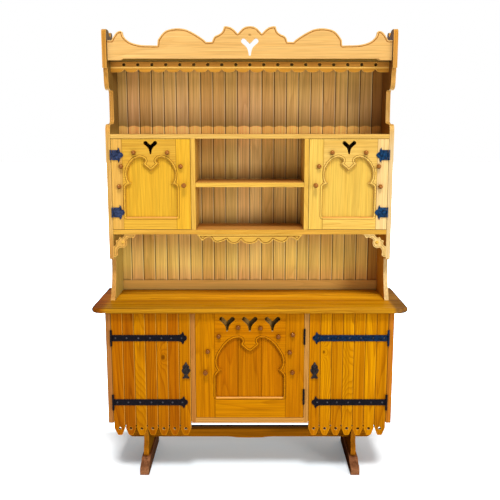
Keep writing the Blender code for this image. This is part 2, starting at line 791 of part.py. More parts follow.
worktop = sheet("worktop", [worktop_outline()], "xy", worktop_bottom, worktop_top, top_wood)
soften(worktop, worktop_nose, 4)
round_off(worktop)

# Hutch carcass
side_line = outline(
    side_profile_shares, hutch_depth, hutch_front, hutch_foot, closed=True, rise=hutch_height
)
for side, label in ((-1, "left"), (1, "right")):
    ends = sorted((side * hutch_side_inner, side * hutch_half_width))
    sheet("hutch_side_" + label, [side_line], "yz", ends[0], ends[1], edge_wood)

inner_x = hutch_side_inner - joint_gap
grooves_each_side = int((inner_x - back_groove_depth * 2) / back_board_pitch)
roof_foot = roof_low - joint_gap
back_low = (-inner_x, back_face - back_rail_thickness, hutch_foot)
hutch_back = blocks("hutch_back", [(back_low, (inner_x, back_rear, roof_foot))], back_wood)
planed = (-hutch_half_width, back_face - back_thickness, back_rail_top)
planed_top = roof_low + back_thickness
planed_block = blocks("back_planing", [(planed, (hutch_half_width, back_face, planed_top))])
join(hutch_back, planed_block, "DIFFERENCE")
groove_places = [i * back_board_pitch for i in range(-grooves_each_side, grooves_each_side + 1)]
back_cut = grooves("back_grooves", groove_places, back_face, back_groove_depth, back_rail_top, planed_top)
join(hutch_back, back_cut, "DIFFERENCE")

crest_front = hutch_front - crest_forward
crest_back = crest_front + crest_thickness
board_end = back_face - joint_gap
low = (-inner_x, crest_back + joint_gap, roof_low)
high = (inner_x, back_rear, roof_low + roof_thickness)
board("hutch_roof", low, high, back_wood)
low = (-inner_x, hutch_front, cupboard_high)
high = (inner_x, board_end, plate_shelf_top)
board("plate_shelf", low, high, edge_wood)
low = (-inner_x, hutch_front, cupboard_low)
high = (inner_x, board_end, cupboard_floor_top)
board("cupboard_floor", low, high, edge_wood)
niche_x = hutch_partition_inner - joint_gap
low = (-niche_x, hutch_front + niche_setback, niche_low)
high = (niche_x, board_end, niche_low + niche_thickness)
board("niche_shelf", low, high, edge_wood)
wall_foot = cupboard_floor_top + joint_gap
wall_head = cupboard_high - joint_gap
for side, label in ((-1, "left"), (1, "right")):
    ends = sorted((side * hutch_partition_inner, side * hutch_partition_outer))
    low = (ends[0], hutch_front, wall_foot)
    high = (ends[1], board_end, wall_head)
    board("hutch_partition_" + label, low, high, edge_wood)


def fork(across, up, drop):
    """The forked cut-out at its place."""
    return [(x + across, z + up) for x, z in mirrored(outline(fork_shares, drop, steps=1))]


crest_line = mirrored(outline(crest_top_shares, crest_half_length, 0, crest_low, rise=crest_height))
crest_fork = fork(0, crest_fork_height, crest_fork_drop)
sheet("crest_board", [crest_line, crest_fork], "xz", crest_front, crest_back, pale_wood)


def valance_outline():
    """Straight top, with scallops between the cusps along the lower edge."""
    reach = valance_holes_each_side * valance_pitch
    points = [(inner_x, roof_low - joint_gap), (-inner_x, roof_low - joint_gap)]
    points += [(-inner_x, valance_low), (-reach - valance_pitch * half_share, valance_low)]
    first = -valance_holes_each_side
    for i in range(first, valance_holes_each_side + 1):
        cusp = i * valance_pitch
        for step in range(-scallop_points, scallop_points):
            t = step / scallop_points
            x = cusp + t * valance_pitch * half_share
            if step == -scallop_points:
                continue
            bow = 1 - math.sqrt(max(1 - (1 - abs(t)) ** 2, 0))
            points.append((x, valance_low + valance_cusp_rise * bow))
        if i < valance_holes_each_side:
            points.append((cusp + valance_pitch * half_share, valance_low))
    points += [(reach + valance_pitch * half_share, valance_low), (inner_x, valance_low)]
    return points


valance_loops = [valance_outline()]
for i in range(-valance_holes_each_side, valance_holes_each_side + 1):
    hole = circle(i * valance_pitch, valance_hole_height, valance_hole_radius, hole_points)
    valance_loops.append(hole)
valance_front = hutch_front + valance_setback
valance_back = valance_front + valance_thickness
sheet("valance", valance_loops, "xz", valance_front, valance_back, edge_wood)

apron_line = mirrored(
    outline(apron_shares, apron_half_length, 0, cupboard_low - joint_gap, rise=apron_height)
)
sheet("apron", [apron_line], "xz", hutch_front, hutch_front + apron_thickness, edge_wood)
for side, label in ((-1, "left"), (1, "right")):
    corner = cupboard_low - joint_gap
    line = outline(bracket_shares, bracket_height, bracket_corner_x, corner, closed=True)
    line = [(side * x, z) for x, z in line]
    back = hutch_front + bracket_thickness
    sheet("corner_bracket_" + label, [line], "xz", hutch_front, back, edge_wood)


# Hinges
def fixed_leaf(name, side, pivot, size, knuckle):
    """Pin and end knuckles of a hinge, with the leaf let in beside the door."""
    radius, height = size
    x, y, z = pivot
    top = height * half_share
    inside = knuckle * half_share + joint_gap
    profile = [
        (0, -top),
        (radius - barrel_chamfer, -top),
        (radius, -top + barrel_chamfer),
        (radius, -inside),
        (pin_radius, -inside),
        (pin_radius, inside),
        (radius, inside),
        (radius, top - barrel_chamfer),
        (radius - barrel_chamfer, top),
        (0, top),
    ]
    near = x - hidden_leaf_thickness * half_share
    far = x + hidden_leaf_thickness * half_share
    clear = y + radius + joint_gap
    rear = y + radius + hidden_leaf_depth
    leaf_top = top - barrel_chamfer * 2
    tab = inside + barrel_chamfer * half_share
    root = y + radius * half_share
    line = [
        (root, z + tab),
        (root, z + leaf_top),
        (rear, z + leaf_top),
        (rear, z - leaf_top),
        (root, z - leaf_top),
        (root, z - tab),
        (clear, z - tab),
        (clear, z + tab),
    ]
    barrel = turned(name + "_barrel", profile, pivot, "z")
    leaf = sheet(name, [line], "yz", near, far, black_iron, True)
    join(leaf, barrel, "UNION")
    return leaf


def moving_knuckle(name, pivot, radius, knuckle):
    """The ring of a hinge that turns on the pin."""
    bore = pin_radius + pin_clearance
    half_height = knuckle * half_share
    profile = [
        (bore, -half_height),
        (radius, -half_height),
        (radius, half_height),
        (bore, half_height),
    ]
    return turned(name + "_knuckle", profile, pivot, "z", ring=True)


def plate_hinge(name, side, pivot, kind):
    """A hinge whose moving leaf lies on the face of the door."""
    if kind == "strap":
        shares, thickness = strap_shares, strap_thickness
        length = abs(pivot[0]) - partition_outer - door_gap - strap_end_gap
        rise = strap_half_height
        radius, height, knuckle = strap_barrel_radius, strap_barrel_height, strap_knuckle
    else:
        shares, thickness = leaf_shares, leaf_thickness
        length = leaf_length
        rise = leaf_length
        radius, height, knuckle = leaf_barrel_radius, leaf_barrel_height, leaf_knuckle
    fixed_leaf(name + "_leaf", side, pivot, (radius, height), knuckle)
    x, y, z = pivot
    points = outline(shares, length, rise=rise)
    if kind == "plate":
        root = radius * half_share
        tab = knuckle * half_share - joint_gap
        points = [(root, tab), (points[0][0], tab)] + points
    line = [(x + side * a, z + b) for a, b in flipped(points)]
    face = y + radius + barrel_off_face
    back = face - joint_gap
    plate = sheet(name, [line], "xz", back - thickness, back, black_iron, True)
    ring = moving_knuckle(name, pivot, radius, knuckle)
    join(plate, ring, "UNION")
    hang(plate, pivot)


def butt_hinge(name, side, pivot):
    """A narrow hinge with both leaves hidden between the door and the partition."""
    size = (leaf_barrel_radius, butt_barrel_height)
    fixed_leaf(name + "_leaf", side, pivot, size, butt_knuckle)
    x, y, z = pivot
    radius = leaf_barrel_radius
    edge = x + side * door_gap * half_share
    ends = sorted((edge, edge + side * hidden_leaf_thickness))
    tab = butt_knuckle * half_share - joint_gap
    top = butt_barrel_height * half_share - barrel_chamfer
    clear = y + radius + barrel_off_face
    rear = clear + butt_leaf_depth
    root = y + (pin_radius + pin_clearance + radius) * half_share
    line = [
        (root, z + tab),
        (clear, z + tab),
        (clear, z + top),
        (rear, z + top),
        (rear, z - top),
        (clear, z - top),
        (clear, z - tab),
        (root, z - tab),
    ]
    leaf = sheet(name, [line], "yz", ends[0], ends[1], black_iron, True)
    ring = moving_knuckle(name, pivot, radius, butt_knuckle)
    join(leaf, ring, "UNION")
    hang(leaf, pivot)
    sunk = edge + side * (hidden_leaf_thickness + butt_leaf_sink)
    slot = sorted((edge - side * door_gap, sunk))
    low = (slot[0], clear - door_gap, z - top - butt_leaf_sink)
    high = (slot[1], rear + butt_leaf_sink, z + top + butt_leaf_sink)
    return low, high


# Pegs and knobs driven into a door frame
def pegs(name, places, knob, face):
    """Domed pegs and one long peg to pull by, as one mesh of separate round pieces."""
    bm = bmesh.new()
    for x, z in places:
        shape = Matrix.Translation((x, face, z))
        shape = shape @ Matrix.Diagonal((peg_radius, peg_rise, peg_radius, 1.0))
        shape = shape @ Matrix.Rotation(math.radians(90), 4, "X")
        bmesh.ops.create_uvsphere(bm, u_segments=8, v_segments=6, radius=1.0, matrix=shape)
    x, z = knob
    rise = Matrix.Translation((x, face - (knob_length - peg_sink) * half_share, z))
    turn = Matrix.Rotation(math.radians(90), 4, "X")
    before = set(bm.edges)
    bmesh.ops.create_cone(
        bm,
        cap_ends=True,
        segments=10,
        radius1=knob_radius,
        radius2=knob_radius,
        depth=knob_length + peg_sink,
        matrix=rise @ turn,
    )
    front = face - knob_length + weld_distance
    rim = [e for e in bm.edges if e not in before and all(v.co.y < front for v in e.verts)]
    bmesh.ops.bevel(
        bm,
        geom=rim,
        offset=knob_radius * half_share,
        segments=2,
        profile=half_share,
        affect="EDGES",
        clamp_overlap=True,
    )
    mesh = bpy.data.meshes.new(name)
    bm.to_mesh(mesh)
    bm.free()
    return keep(name, mesh)


# Panelled doors
def panel_door(name, left, right, low, high, arch, forks, pivot, marks, colour, boards):
    """Frame with an arched opening, its pegs and knob, and the panel of one or more boards."""
    shares, arch_half_width, arch_foot, arch_rise_above = arch
    middle = (left + right) * half_share
    face = pivot[1]
    front, back = face, face + board_thickness
    rim = [(left, low), (right, low), (right, high), (left, high)]
    opening = outline(shares, arch_half_width, middle, arch_foot, rise=arch_rise_above, steps=1)
    opening = mirrored(opening, middle)
    frame = sheet(name + "_frame", [rim, opening] + forks, "xz", front, back, colour)
    reach = arch_half_width + panel_lap
    arch_top = max(z for x, z in opening)
    seat_low = arch_foot - panel_lap
    seat_high = arch_top + panel_lap
    seat = blocks(
        name + "_panel_seat",
        [((middle - reach, front + panel_recess, seat_low), (middle + reach, back + door_gap, seat_high))],
    )
    join(frame, seat, "DIFFERENCE")
    side, peg_shares, knob_share = marks
    spread = side * (right - left) * half_share
    places = [(middle + a * spread, low + b * (high - low)) for a, b in peg_shares + [knob_share]]
    join(frame, pegs(name + "_pegs", places[:-1], places[-1], face), "UNION")
    hang(frame, pivot[0])
    panel_front = front + panel_recess + joint_gap
    panel_x = reach - joint_gap
    line = [(middle - panel_x, panel_front)]
    for i in range(1, boards):
        x = middle + arch_half_width * (2 * i / boards - 1)
        line.append((x - groove_half, panel_front))
        line.append((x, panel_front + groove_half))
        line.append((x + groove_half, panel_front))
    line.append((middle + panel_x, panel_front))
    line.append((middle + panel_x, panel_front + panel_thickness))
    line.append((middle - panel_x, panel_front + panel_thickness))
    gap = joint_gap
    panel = sheet(name + "_panel", [line], "xy", seat_low + gap, seat_high - gap, colour)
    hang(panel, pivot[0])
    return frame


def upper_door(side, label):
    """One door of the hutch with its two short plate hinges."""
    ends = sorted((side * (hutch_partition_outer + door_gap), side * (hutch_side_inner - door_gap)))
    left, right = ends
    middle = (left + right) * half_share
    low = cupboard_floor_top + door_gap
    high = cupboard_high - door_gap
    forks = [fork(middle, upper_fork_height, upper_fork_drop)]
    x = side * (hutch_side_inner - door_gap * half_share)
    y = hutch_front - barrel_off_face - leaf_barrel_radius
    pivot = (x, y, 0)
    name = "upper_door_" + label
    arch = (upper_arch_shares, upper_arch_half, upper_arch_low, upper_arch_height)
    marks = (side, upper_peg_shares, upper_knob_share)
    place = (pivot, hutch_front)
    panel_door(name, left, right, low, high, arch, forks, place, marks, golden_wood, 1)
    for height, place in zip(leaf_heights, ("lower", "upper")):
        plate_hinge(name + "_hinge_" + place, -side, (x, y, height), "plate")


for side, label in ((-1, "left"), (1, "right")):
    upper_door(side, label)

# Middle door of the base, hung on its right edge
left = -(partition_inner - door_gap)
right = partition_inner - door_gap
forks = [fork(i * fork_spread, fork_height, fork_drop) for i in (-1, 0, 1)]
x = partition_inner - door_gap * half_share
y = base_front - barrel_off_face - leaf_barrel_radius
arch = (lower_arch_shares, arch_half, arch_low, arch_height)
place = ((x, y, 0), base_front)
marks = (1, middle_peg_shares, middle_knob_share)
high = under_top - door_gap
middle_frame = panel_door(
    "middle_door", left, right, middle_door_low, high, arch, forks, place, marks, amber_wood, 3
)
slots = []
for height, label in zip(butt_heights, ("lower", "upper")):
    slots.append(butt_hinge("middle_door_hinge_" + label, -1, (x, y, height)))
join(middle_frame, blocks("middle_door_hinge_slots", slots), "DIFFERENCE")


# Plank doors of the base
def plank_edge(left, plank):
    """Lower edge of a plank door, from left to right: tapered tongues, a drilled slot between."""
    points = []
    for i in range(plank_count):
        start = left + i * plank
        end = start + plank
        centre = (start + end) * half_share
        neck_left = plank_neck_half if i > 0 else 0
        neck_right = plank_neck_half if i < plank_count - 1 else 0
        points.append((start + neck_left, plank_shoulder))
        points.append((centre - plank_tip_half, plank_bottom + plank_tip_corner))
        points.append((centre - plank_tip_half + plank_tip_corner, plank_bottom))
        points.append((centre + plank_tip_half - plank_tip_corner, plank_bottom))
        points.append((centre + plank_tip_half, plank_bottom + plank_tip_corner))
        points.append((end - neck_right, plank_shoulder))
        if i == plank_count - 1:
            break
        mouth = math.asin(plank_neck_half / plank_slot_half)
        for step in range(slot_points + 1):
            a = math.pi * 3 / 2 - mouth - (math.pi - mouth) * 2 * step / slot_points
            x = end + plank_slot_half * math.cos(a)
            points.append((x, plank_gap_top + plank_slot_half * math.sin(a)))
    return points


def plank_door(side, label, pull_inset):
    """Grooved planks on two ledges, with two long strap hinges and a drop pull."""
    ends = sorted((side * (partition_outer + door_gap), side * (base_side_inner - door_gap)))
    left, right = ends
    plank = (right - left) / plank_count
    high = under_top - door_gap
    line = plank_edge(left, plank)
    corner_low = plank_gap_top
    line = [(left, high), (left, corner_low)] + line + [(right, corner_low), (right, high)]
    loops = [line]
    for i in range(plank_count):
        centre = left + (i + half_share) * plank
        loops.append(circle(centre, plank_hole_height, plank_hole_radius, hole_points))
    back = base_front + plank_thickness
    name = "lower_door_" + label
    door = sheet(name, loops, "xz", base_front, back, amber_wood)
    places = [left + i * plank for i in range(1, plank_count)]
    cut = grooves(name + "_grooves", places, base_front, groove_depth, plank_shoulder, high + door_gap)
    join(door, cut, "DIFFERENCE")
    pairs = []
    for height in strap_heights:
        low = (left + ledge_inset, back - door_gap, height - ledge_half_height)
        top = (right - ledge_inset, back + ledge_thickness, height + ledge_half_height)
        pairs.append((low, top))
    join(door, blocks(name + "_ledges", pairs), "UNION")
    x = side * (base_side_inner - door_gap * half_share)
    y = base_front - barrel_off_face - strap_barrel_radius
    pivot = (x, y, 0)
    hang(door, pivot)
    for height, place in zip(strap_heights, ("lower", "upper")):
        plate_hinge(name + "_hinge_" + place, -side, (x, y, height), "strap")
    pull_x = side * (partition_outer + door_gap + pull_inset)
    drop_pull(name + "_pull", pull_x, pivot)


def drop_pull(name, x, door_pivot):
    """Pointed plate with two lugs and a pin, and the drop that swings on the pin."""
    plate_back = base_front - joint_gap
    plate_front = plate_back - backplate_thickness
    plate_line = mirrored(outline(backplate_shares, pull_height, x, pull_top), x)
    z = pull_top - pull_pivot_drop
    y = plate_front - pull_lug_radius + joint_gap
    pivot = (x, y, z)
    profile = [
        (0, -pull_lug_outer),
        (pull_lug_radius, -pull_lug_outer),
        (pull_lug_radius, -pull_lug_inner),
        (pull_pin_radius, -pull_lug_inner),
        (pull_pin_radius, pull_lug_inner),
        (pull_lug_radius, pull_lug_inner),
        (pull_lug_radius, pull_lug_outer),
        (0, pull_lug_outer),
    ]
    lugs = turned(name + "_lugs", profile, pivot, "x")
    plate = sheet(name + "_plate", [plate_line], "xz", plate_front, plate_back, black_iron, True)
    join(plate, lugs, "UNION")
    hang(plate, door_pivot)
    bore = pull_pin_radius + pin_clearance
    eye_half = pull_lug_inner - joint_gap
    ring_profile = [
        (bore, -eye_half),
        (pull_eye_radius, -eye_half),
        (pull_eye_radius, eye_half),
        (bore, eye_half),
    ]
    eye = turned(name + "_eye", ring_profile, pivot, "x", ring=True)
    drop_line = mirrored(outline(drop_shares, pull_height, x, pull_top), x)
    drop_back = y + drop_thickness * half_share
    drop = sheet(name + "_drop", [drop_line], "xz", drop_back - drop_thickness, drop_back, black_iron, True)
    join(drop, eye, "UNION")
    hang(drop, pivot)


for side, label, inset in ((-1, "left", pull_insets[0]), (1, "right", pull_insets[1])):
    plank_door(side, label, inset)
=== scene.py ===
"""Kitchen dresser in pine: trestle feet, plank and panel doors, open hutch with a scrolled crest."""
import math

import bmesh
import bpy
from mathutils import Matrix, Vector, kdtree


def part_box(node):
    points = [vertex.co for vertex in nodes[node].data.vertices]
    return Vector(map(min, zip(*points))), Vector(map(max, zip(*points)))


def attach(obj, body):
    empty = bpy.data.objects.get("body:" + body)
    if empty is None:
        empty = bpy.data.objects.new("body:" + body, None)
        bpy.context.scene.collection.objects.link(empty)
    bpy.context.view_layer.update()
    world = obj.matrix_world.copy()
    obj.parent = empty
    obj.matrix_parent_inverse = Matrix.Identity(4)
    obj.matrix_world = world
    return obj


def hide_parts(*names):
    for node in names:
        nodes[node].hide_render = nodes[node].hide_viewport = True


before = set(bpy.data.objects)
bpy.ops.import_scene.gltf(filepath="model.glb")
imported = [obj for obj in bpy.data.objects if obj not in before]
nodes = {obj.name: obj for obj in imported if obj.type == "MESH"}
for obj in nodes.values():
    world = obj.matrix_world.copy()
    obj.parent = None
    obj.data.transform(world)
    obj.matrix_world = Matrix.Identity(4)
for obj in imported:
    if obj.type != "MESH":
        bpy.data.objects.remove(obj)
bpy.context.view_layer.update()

# Studio. A seamless pale floor, a broad white surround that is weaker at the sides, one high lamp
# in front, which casts the short shadows under the worktop and the canopy, and a low wide one.
# The camera stands about three metres off at eye height and looks slightly down.


def feed(tree, node, feeds):
    """Set a node's sockets, each to a number, a colour or another node's output."""
    for key, value in feeds.items():
        if isinstance(value, bpy.types.NodeSocket):
            tree.links.new(value, node.inputs[key])
        else:
            node.inputs[key].default_value = value


def put(tree, kind, feeds=None, **settings):
    """Add a node to a finish."""
    node = tree.nodes.new(kind)
    for key, value in settings.items():
        setattr(node, key, value)
    feed(tree, node, feeds or {})
    return node


def calc(tree, action, a, b=0.0, c=None):
    """One sum on numbers or outputs."""
    feeds = {0: a, 1: b}
    if c is not None:
        feeds[2] = c
    return put(tree, "ShaderNodeMath", feeds, operation=action).outputs[0]


def spread(tree, value, low, high, to_low, to_high):
    """Stretch a value from one range to another, held at both ends."""
    feeds = {"Value": value, "From Min": low, "From Max": high, "To Min": to_low, "To Max": to_high}
    return put(tree, "ShaderNodeMapRange", feeds).outputs[0]


def ramp(tree, value, marks, interpolation="LINEAR"):
    """The colours that are marked along a value from 0 to 1."""
    node = put(tree, "ShaderNodeValToRGB", {0: value})
    node.color_ramp.interpolation = interpolation
    elements = node.color_ramp.elements
    elements.remove(elements[1])
    elements[0].position = marks[0][0]
    elements[0].color = (*marks[0][1], 1)
    for at, colour in marks[1:]:
        elements.new(at).color = (*colour, 1)
    return node.outputs[0]


def fresh(name):
    """A new finish, with its nodes and its shader."""
    surface = bpy.data.materials.new(name)
    surface.use_nodes = True
    return surface, surface.node_tree, surface.node_tree.nodes["Principled BSDF"]


studio = bpy.context.scene
studio.view_settings.view_transform = "Standard"
studio.view_settings.look = "None"
floor_half = 30.0
floor_drop = 0.0004
corners = [(a * floor_half, b * floor_half, -floor_drop) for a, b in ((-1, -1), (1, -1), (1, 1), (-1, 1))]
floor_mesh = bpy.data.meshes.new("floor")
floor_mesh.from_pydata(corners, [], [(0, 1, 2, 3)])
floor = bpy.data.objects.new("floor", floor_mesh)
studio.collection.objects.link(floor)
floor_paint, paint, floor_shader = fresh("floor_paint")
spot = put(paint, "ShaderNodeTexCoord").outputs["Object"]
narrowed = put(paint, "ShaderNodeVectorMath", {0: spot, 1: (0.4, 1.0, 1.0)}, operation="MULTIPLY").outputs[0]
from_middle = put(paint, "ShaderNodeVectorMath", {0: narrowed}, operation="LENGTH").outputs["Value"]
# Painted light on the floor: its paint is cooler round the dresser, so that warm light thrown off the wood
# does not tint the shade there, and it glows faintly, and strongly behind the dresser, where the dresser's
# shadow would show.
floor_cooled_shade_tones = [(0.14, (0.82, 0.895, 0.94)), (0.34, (0.97, 0.97, 0.97))]
from_front = put(paint, "ShaderNodeSeparateXYZ", {0: spot}).outputs["Y"]
feed(paint, floor_shader, {
    "Base Color": ramp(paint, from_middle, floor_cooled_shade_tones),
    "Roughness": 0.9,
    "Specular IOR Level": 0.0,
    "Emission Color": (0.65, 1.0, 1.22, 1),
    "Emission Strength": spread(paint, from_front, 0.28, 0.40, 0.09, 2.0),
})
floor_mesh.materials.append(floor_paint)

surround = bpy.data.worlds.new("surround")
studio.world = surround
surround.use_nodes = True
sky = surround.node_tree
around = put(sky, "ShaderNodeTexCoord").outputs["Generated"]
sideways = calc(sky, "ABSOLUTE", put(sky, "ShaderNodeSeparateXYZ", {0: around}).outputs["X"])
glow = sky.nodes["Background"]
feed(sky, glow, {"Color": spread(sky, sideways, 0.25, 0.95, 1.0, 0.45), "Strength": 0.49})
backdrop = put(sky, "ShaderNodeBackground", {"Color": (1, 1, 1, 1)})
seen = put(sky, "ShaderNodeLightPath").outputs["Is Camera Ray"]
either = put(sky, "ShaderNodeMixShader", {0: seen, 1: glow.outputs[0], 2: backdrop.outputs[0]})
feed(sky, sky.nodes["World Output"], {"Surface": either.outputs[0]})

for title, energy, width, tilt, turn in (("high_lamp", 2.65, 13, 30, 4), ("low_lamp", 1.20, 20, 74, 44)):
    lamp_data = bpy.data.lights.new(title, "SUN")
    lamp_data.energy = energy
    lamp_data.angle = math.radians(width)
    lamp = bpy.data.objects.new(title, lamp_data)
    lamp.rotation_euler = (math.radians(tilt), 0, math.radians(turn))
    studio.collection.objects.link(lamp)

looking_down = 9.76
camera_data = bpy.data.cameras.new("camera")
camera_data.sensor_width = 36
camera_data.lens = 51.05
camera = bpy.data.objects.new("camera", camera_data)
camera.location = (0.001, -3.277, 1.60)
camera.rotation_euler = (math.radians(90 - looking_down), 0, 0)
studio.collection.objects.link(camera)
studio.camera = camera

# Trestle. Two feet, two waisted posts with their bearers and one stretcher, sawn from brown
# stained pine, rounded over and varnished. The wood's finish is mixed here for every other piece.


def blend(tree, amount, under, over, action="MIX"):
    """Lay one colour over another."""
    under, over = ((*colour, 1) if isinstance(colour, tuple) else colour for colour in (under, over))
    feeds = {0: amount, 6: under, 7: over}
    node = put(tree, "ShaderNodeMix", feeds, data_type="RGBA", blend_type=action, clamp_result=False)
    return node.outputs[2]


def stained(tree, colour, stain):
    """Multiply one colour by another."""
    return blend(tree, 1.0, colour, stain, "MULTIPLY")


def grey(tree, value):
    """A number as a shade of grey."""
    return put(tree, "ShaderNodeCombineColor", {0: value, 1: value, 2: value}).outputs[0]


def shaded(tree, colour, value, stops):
    """Multiply a colour by painted light and shade that hold at places along a piece."""
    low, high = stops[0][0], stops[-1][0]
    marks = [((at - low) / (high - low), shade if isinstance(shade, tuple) else (shade, shade, shade))
             for at, shade in stops]
    return stained(tree, colour, ramp(tree, spread(tree, value, low, high, 0.0, 1.0), marks))


def pine(name, pale, mid, dark, grain="zxy", seed=0.0, boards=None, order=(), tints=(), tone=0.0, lines=None,
         frame_boards=None, joint=None, members=None, rings=24.0, knots=(), figured=0.3, streaks=0.5,
         gloss=0.36, shine=0.08, edge_wear_and_highlight=0.4, rub_from=0.5, corner_shade=0.6, reach=0.030, light_and_shade_bands=(), shadow_ripple=None,
         faces=()):
    """Varnished pine: growth rings drawn out along the grain, fibres, painted shade in corners, and
    paler edges, worn and painted as a highlight.

    grain names the axes along, across and through the wood. boards says where the first board starts
    and how wide each is; frame_boards where a frame's two stiles end, and joint a height between its
    rails. A knot is its place along and across, its size and its pull on the rings. light_and_shade_bands
    paint light and shade that hold at places along an axis, and may hold only on faces turned one way;
    faces paint light and shade on faces by their way, and shadow_ripple waves the bands along z.
    """
    surface, tree, shader = fresh(name)
    place = put(tree, "ShaderNodeTexCoord").outputs
    parts = put(tree, "ShaderNodeSeparateXYZ", {0: place["Object"]}).outputs
    ways = put(tree, "ShaderNodeSeparateXYZ", {0: place["Normal"]}).outputs
    along, across, through = (parts["xyz".index(axis)] for axis in grain)
    chance_from = seed + 0.37
    seam = None
    if boards:
        start, pitch = boards
        count = calc(tree, "DIVIDE", calc(tree, "SUBTRACT", across, start), pitch)
        board = calc(tree, "FLOOR", count)
        chance_from = calc(tree, "ADD", board, seed)
    elif frame_boards:
        left, right = frame_boards
        for line in frame_boards:
            off = calc(tree, "ABSOLUTE", calc(tree, "SUBTRACT", across, line))
            near = spread(tree, off, 0.0007, 0.0018, 0.7, 0.0)
            seam = near if seam is None else calc(tree, "MAXIMUM", seam, near)
        inside = calc(tree, "GREATER_THAN", across, left)
        crossed = calc(tree, "MULTIPLY", inside, calc(tree, "LESS_THAN", across, right))
        side = calc(tree, "GREATER_THAN", across, (left + right) / 2)
        above = calc(tree, "GREATER_THAN", along, joint)
        high = calc(tree, "MULTIPLY", above, crossed)
        chance_from = calc(tree, "MULTIPLY_ADD", high, 3.1, calc(tree, "MULTIPLY_ADD", crossed, 2.3, seed))
        far_stile = calc(tree, "MULTIPLY", side, calc(tree, "SUBTRACT", 1.0, crossed))
        chance_from = calc(tree, "ADD", far_stile, chance_from)
        swap = calc(tree, "MULTIPLY", crossed, calc(tree, "SUBTRACT", across, along))
        along, across = calc(tree, "ADD", along, swap), calc(tree, "SUBTRACT", across, swap)
    luck = put(tree, "ShaderNodeTexWhiteNoise", {"W": chance_from}, noise_dimensions="1D").outputs["Value"]

    def figure(stretch, fineness, detail, rough=0.5):
        """Noise that runs along the grain."""
        a = calc(tree, "MULTIPLY_ADD", along, stretch, calc(tree, "MULTIPLY", luck, 37.0))
        b = calc(tree, "MULTIPLY_ADD", across, fineness, calc(tree, "MULTIPLY", luck, 11.0))
        c = calc(tree, "MULTIPLY_ADD", through, fineness, seed)
        spot = put(tree, "ShaderNodeCombineXYZ", {0: a, 1: b, 2: c}).outputs[0]
        feeds = {"Vector": spot, "Scale": 1.0, "Detail": detail, "Roughness": rough}
        return put(tree, "ShaderNodeTexNoise", feeds).outputs[0]

    def facing(axis, way):
        """How fully a face is turned one way."""
        turn = calc(tree, "MULTIPLY", ways["xyz".index(axis)], way)
        return spread(tree, turn, 0.55, 0.8, 0.0, 1.0)

    # The growth rings, bent round the knots; a small knot also has a dark heart.
    field = figure(0.55, 9.0, 1.5, 0.4)
    heart = None
    small_knot = 0.03
    for up, over, size, pull in knots:
        a = calc(tree, "DIVIDE", calc(tree, "SUBTRACT", along, up), size * 1.5)
        b = calc(tree, "DIVIDE", calc(tree, "SUBTRACT", across, over), size)
        far = calc(tree, "ADD", calc(tree, "MULTIPLY", a, a), calc(tree, "MULTIPLY", b, b))
        near = calc(tree, "DIVIDE", 1.0, calc(tree, "MULTIPLY_ADD", far, 0.3, 1.0))
        if boards:
            own = calc(tree, "COMPARE", board, math.floor((over - start) / pitch), 0.5)
            near = calc(tree, "MULTIPLY", near, own)
        field = calc(tree, "MULTIPLY_ADD", near, pull, field)
        if size < small_knot:
            core = spread(tree, far, 0.15, 0.9, 1.0, 0.0)
            heart = core if heart is None else calc(tree, "MAXIMUM", heart, core)
    ring = calc(tree, "FRACT", calc(tree, "MULTIPLY", field, rings))
    grown = ramp(tree, ring, [(0.0, pale), (0.40, pale), (0.72, mid), (0.93, dark), (1.0, pale)])
    ground = tuple(0.6 * a + 0.4 * b for a, b in zip(pale, mid))
    colour = blend(tree, figured, ground, grown)

    # Clouds, three widths of dark streak, and fine fibres.
    cloud = figure(1.3, 7.0, 2.0)
    colour = blend(tree, spread(tree, cloud, 0.42, 0.75, 0.0, 0.7), colour, mid)
    streak_widths = ((0.35, 34.0, 0.52, 0.6), (0.8, 95.0, 0.5, 0.9), (1.2, 240.0, 0.5, 0.8))
    for stretch, fineness, low, strength in streak_widths:
        drawn = figure(stretch, fineness, 3.0, 0.6)
        colour = blend(tree, spread(tree, drawn, low, low + 0.25, 0.0, strength * streaks), colour, dark)
    fibres = figure(5.0, 260.0, 3.0, 0.6)
    colour = stained(tree, colour, grey(tree, spread(tree, fibres, 0.3, 0.7, 0.82, 1.18)))

    # The tone of each board or member, in order or by chance, and the joints between them.
    if order:
        share = calc(tree, "DIVIDE", calc(tree, "ADD", board, 0.5), float(len(order)))
        marks = [(i / len(order), tint) for i, tint in enumerate(order)]
        colour = stained(tree, colour, ramp(tree, share, marks, "CONSTANT"))
    if tints:
        marks = [(i / (len(tints) - 1), tint) for i, tint in enumerate(tints)]
        colour = stained(tree, colour, ramp(tree, luck, marks))
    if members:
        stile = blend(tree, side, members[0], members[1])
        rail = blend(tree, above, members[3], members[2])
        colour = stained(tree, colour, blend(tree, crossed, stile, rail))
    if tone:
        colour = stained(tree, colour, grey(tree, calc(tree, "MULTIPLY_ADD", luck, 2 * tone, 1 - tone)))
    if heart is not None:
        colour = blend(tree, calc(tree, "MULTIPLY", heart, 0.75), colour, tuple(c * 0.5 for c in dark))
    if seam is not None:
        colour = blend(tree, seam, colour, tuple(c * 0.5 for c in dark))
    # At each board joint a dark groove line, and along one side of it a painted highlight.
    if lines:
        half, dark_line, arris_highlight_amount, lit = lines
        shift = calc(tree, "SUBTRACT", calc(tree, "FRACT", calc(tree, "ADD", count, 0.5)), 0.5)
        off = calc(tree, "MULTIPLY", shift, pitch)
        beside = calc(tree, "ABSOLUTE", calc(tree, "ADD", off, 1.7 * half))
        colour = blend(tree, spread(tree, beside, 0.4 * half, 1.1 * half, arris_highlight_amount, 0.0), colour, lit)
        groove = spread(tree, calc(tree, "ABSOLUTE", off), 0.6 * half, 1.1 * half, dark_line, 0.0)
        colour = blend(tree, groove, colour, tuple(c * 0.3 for c in dark))
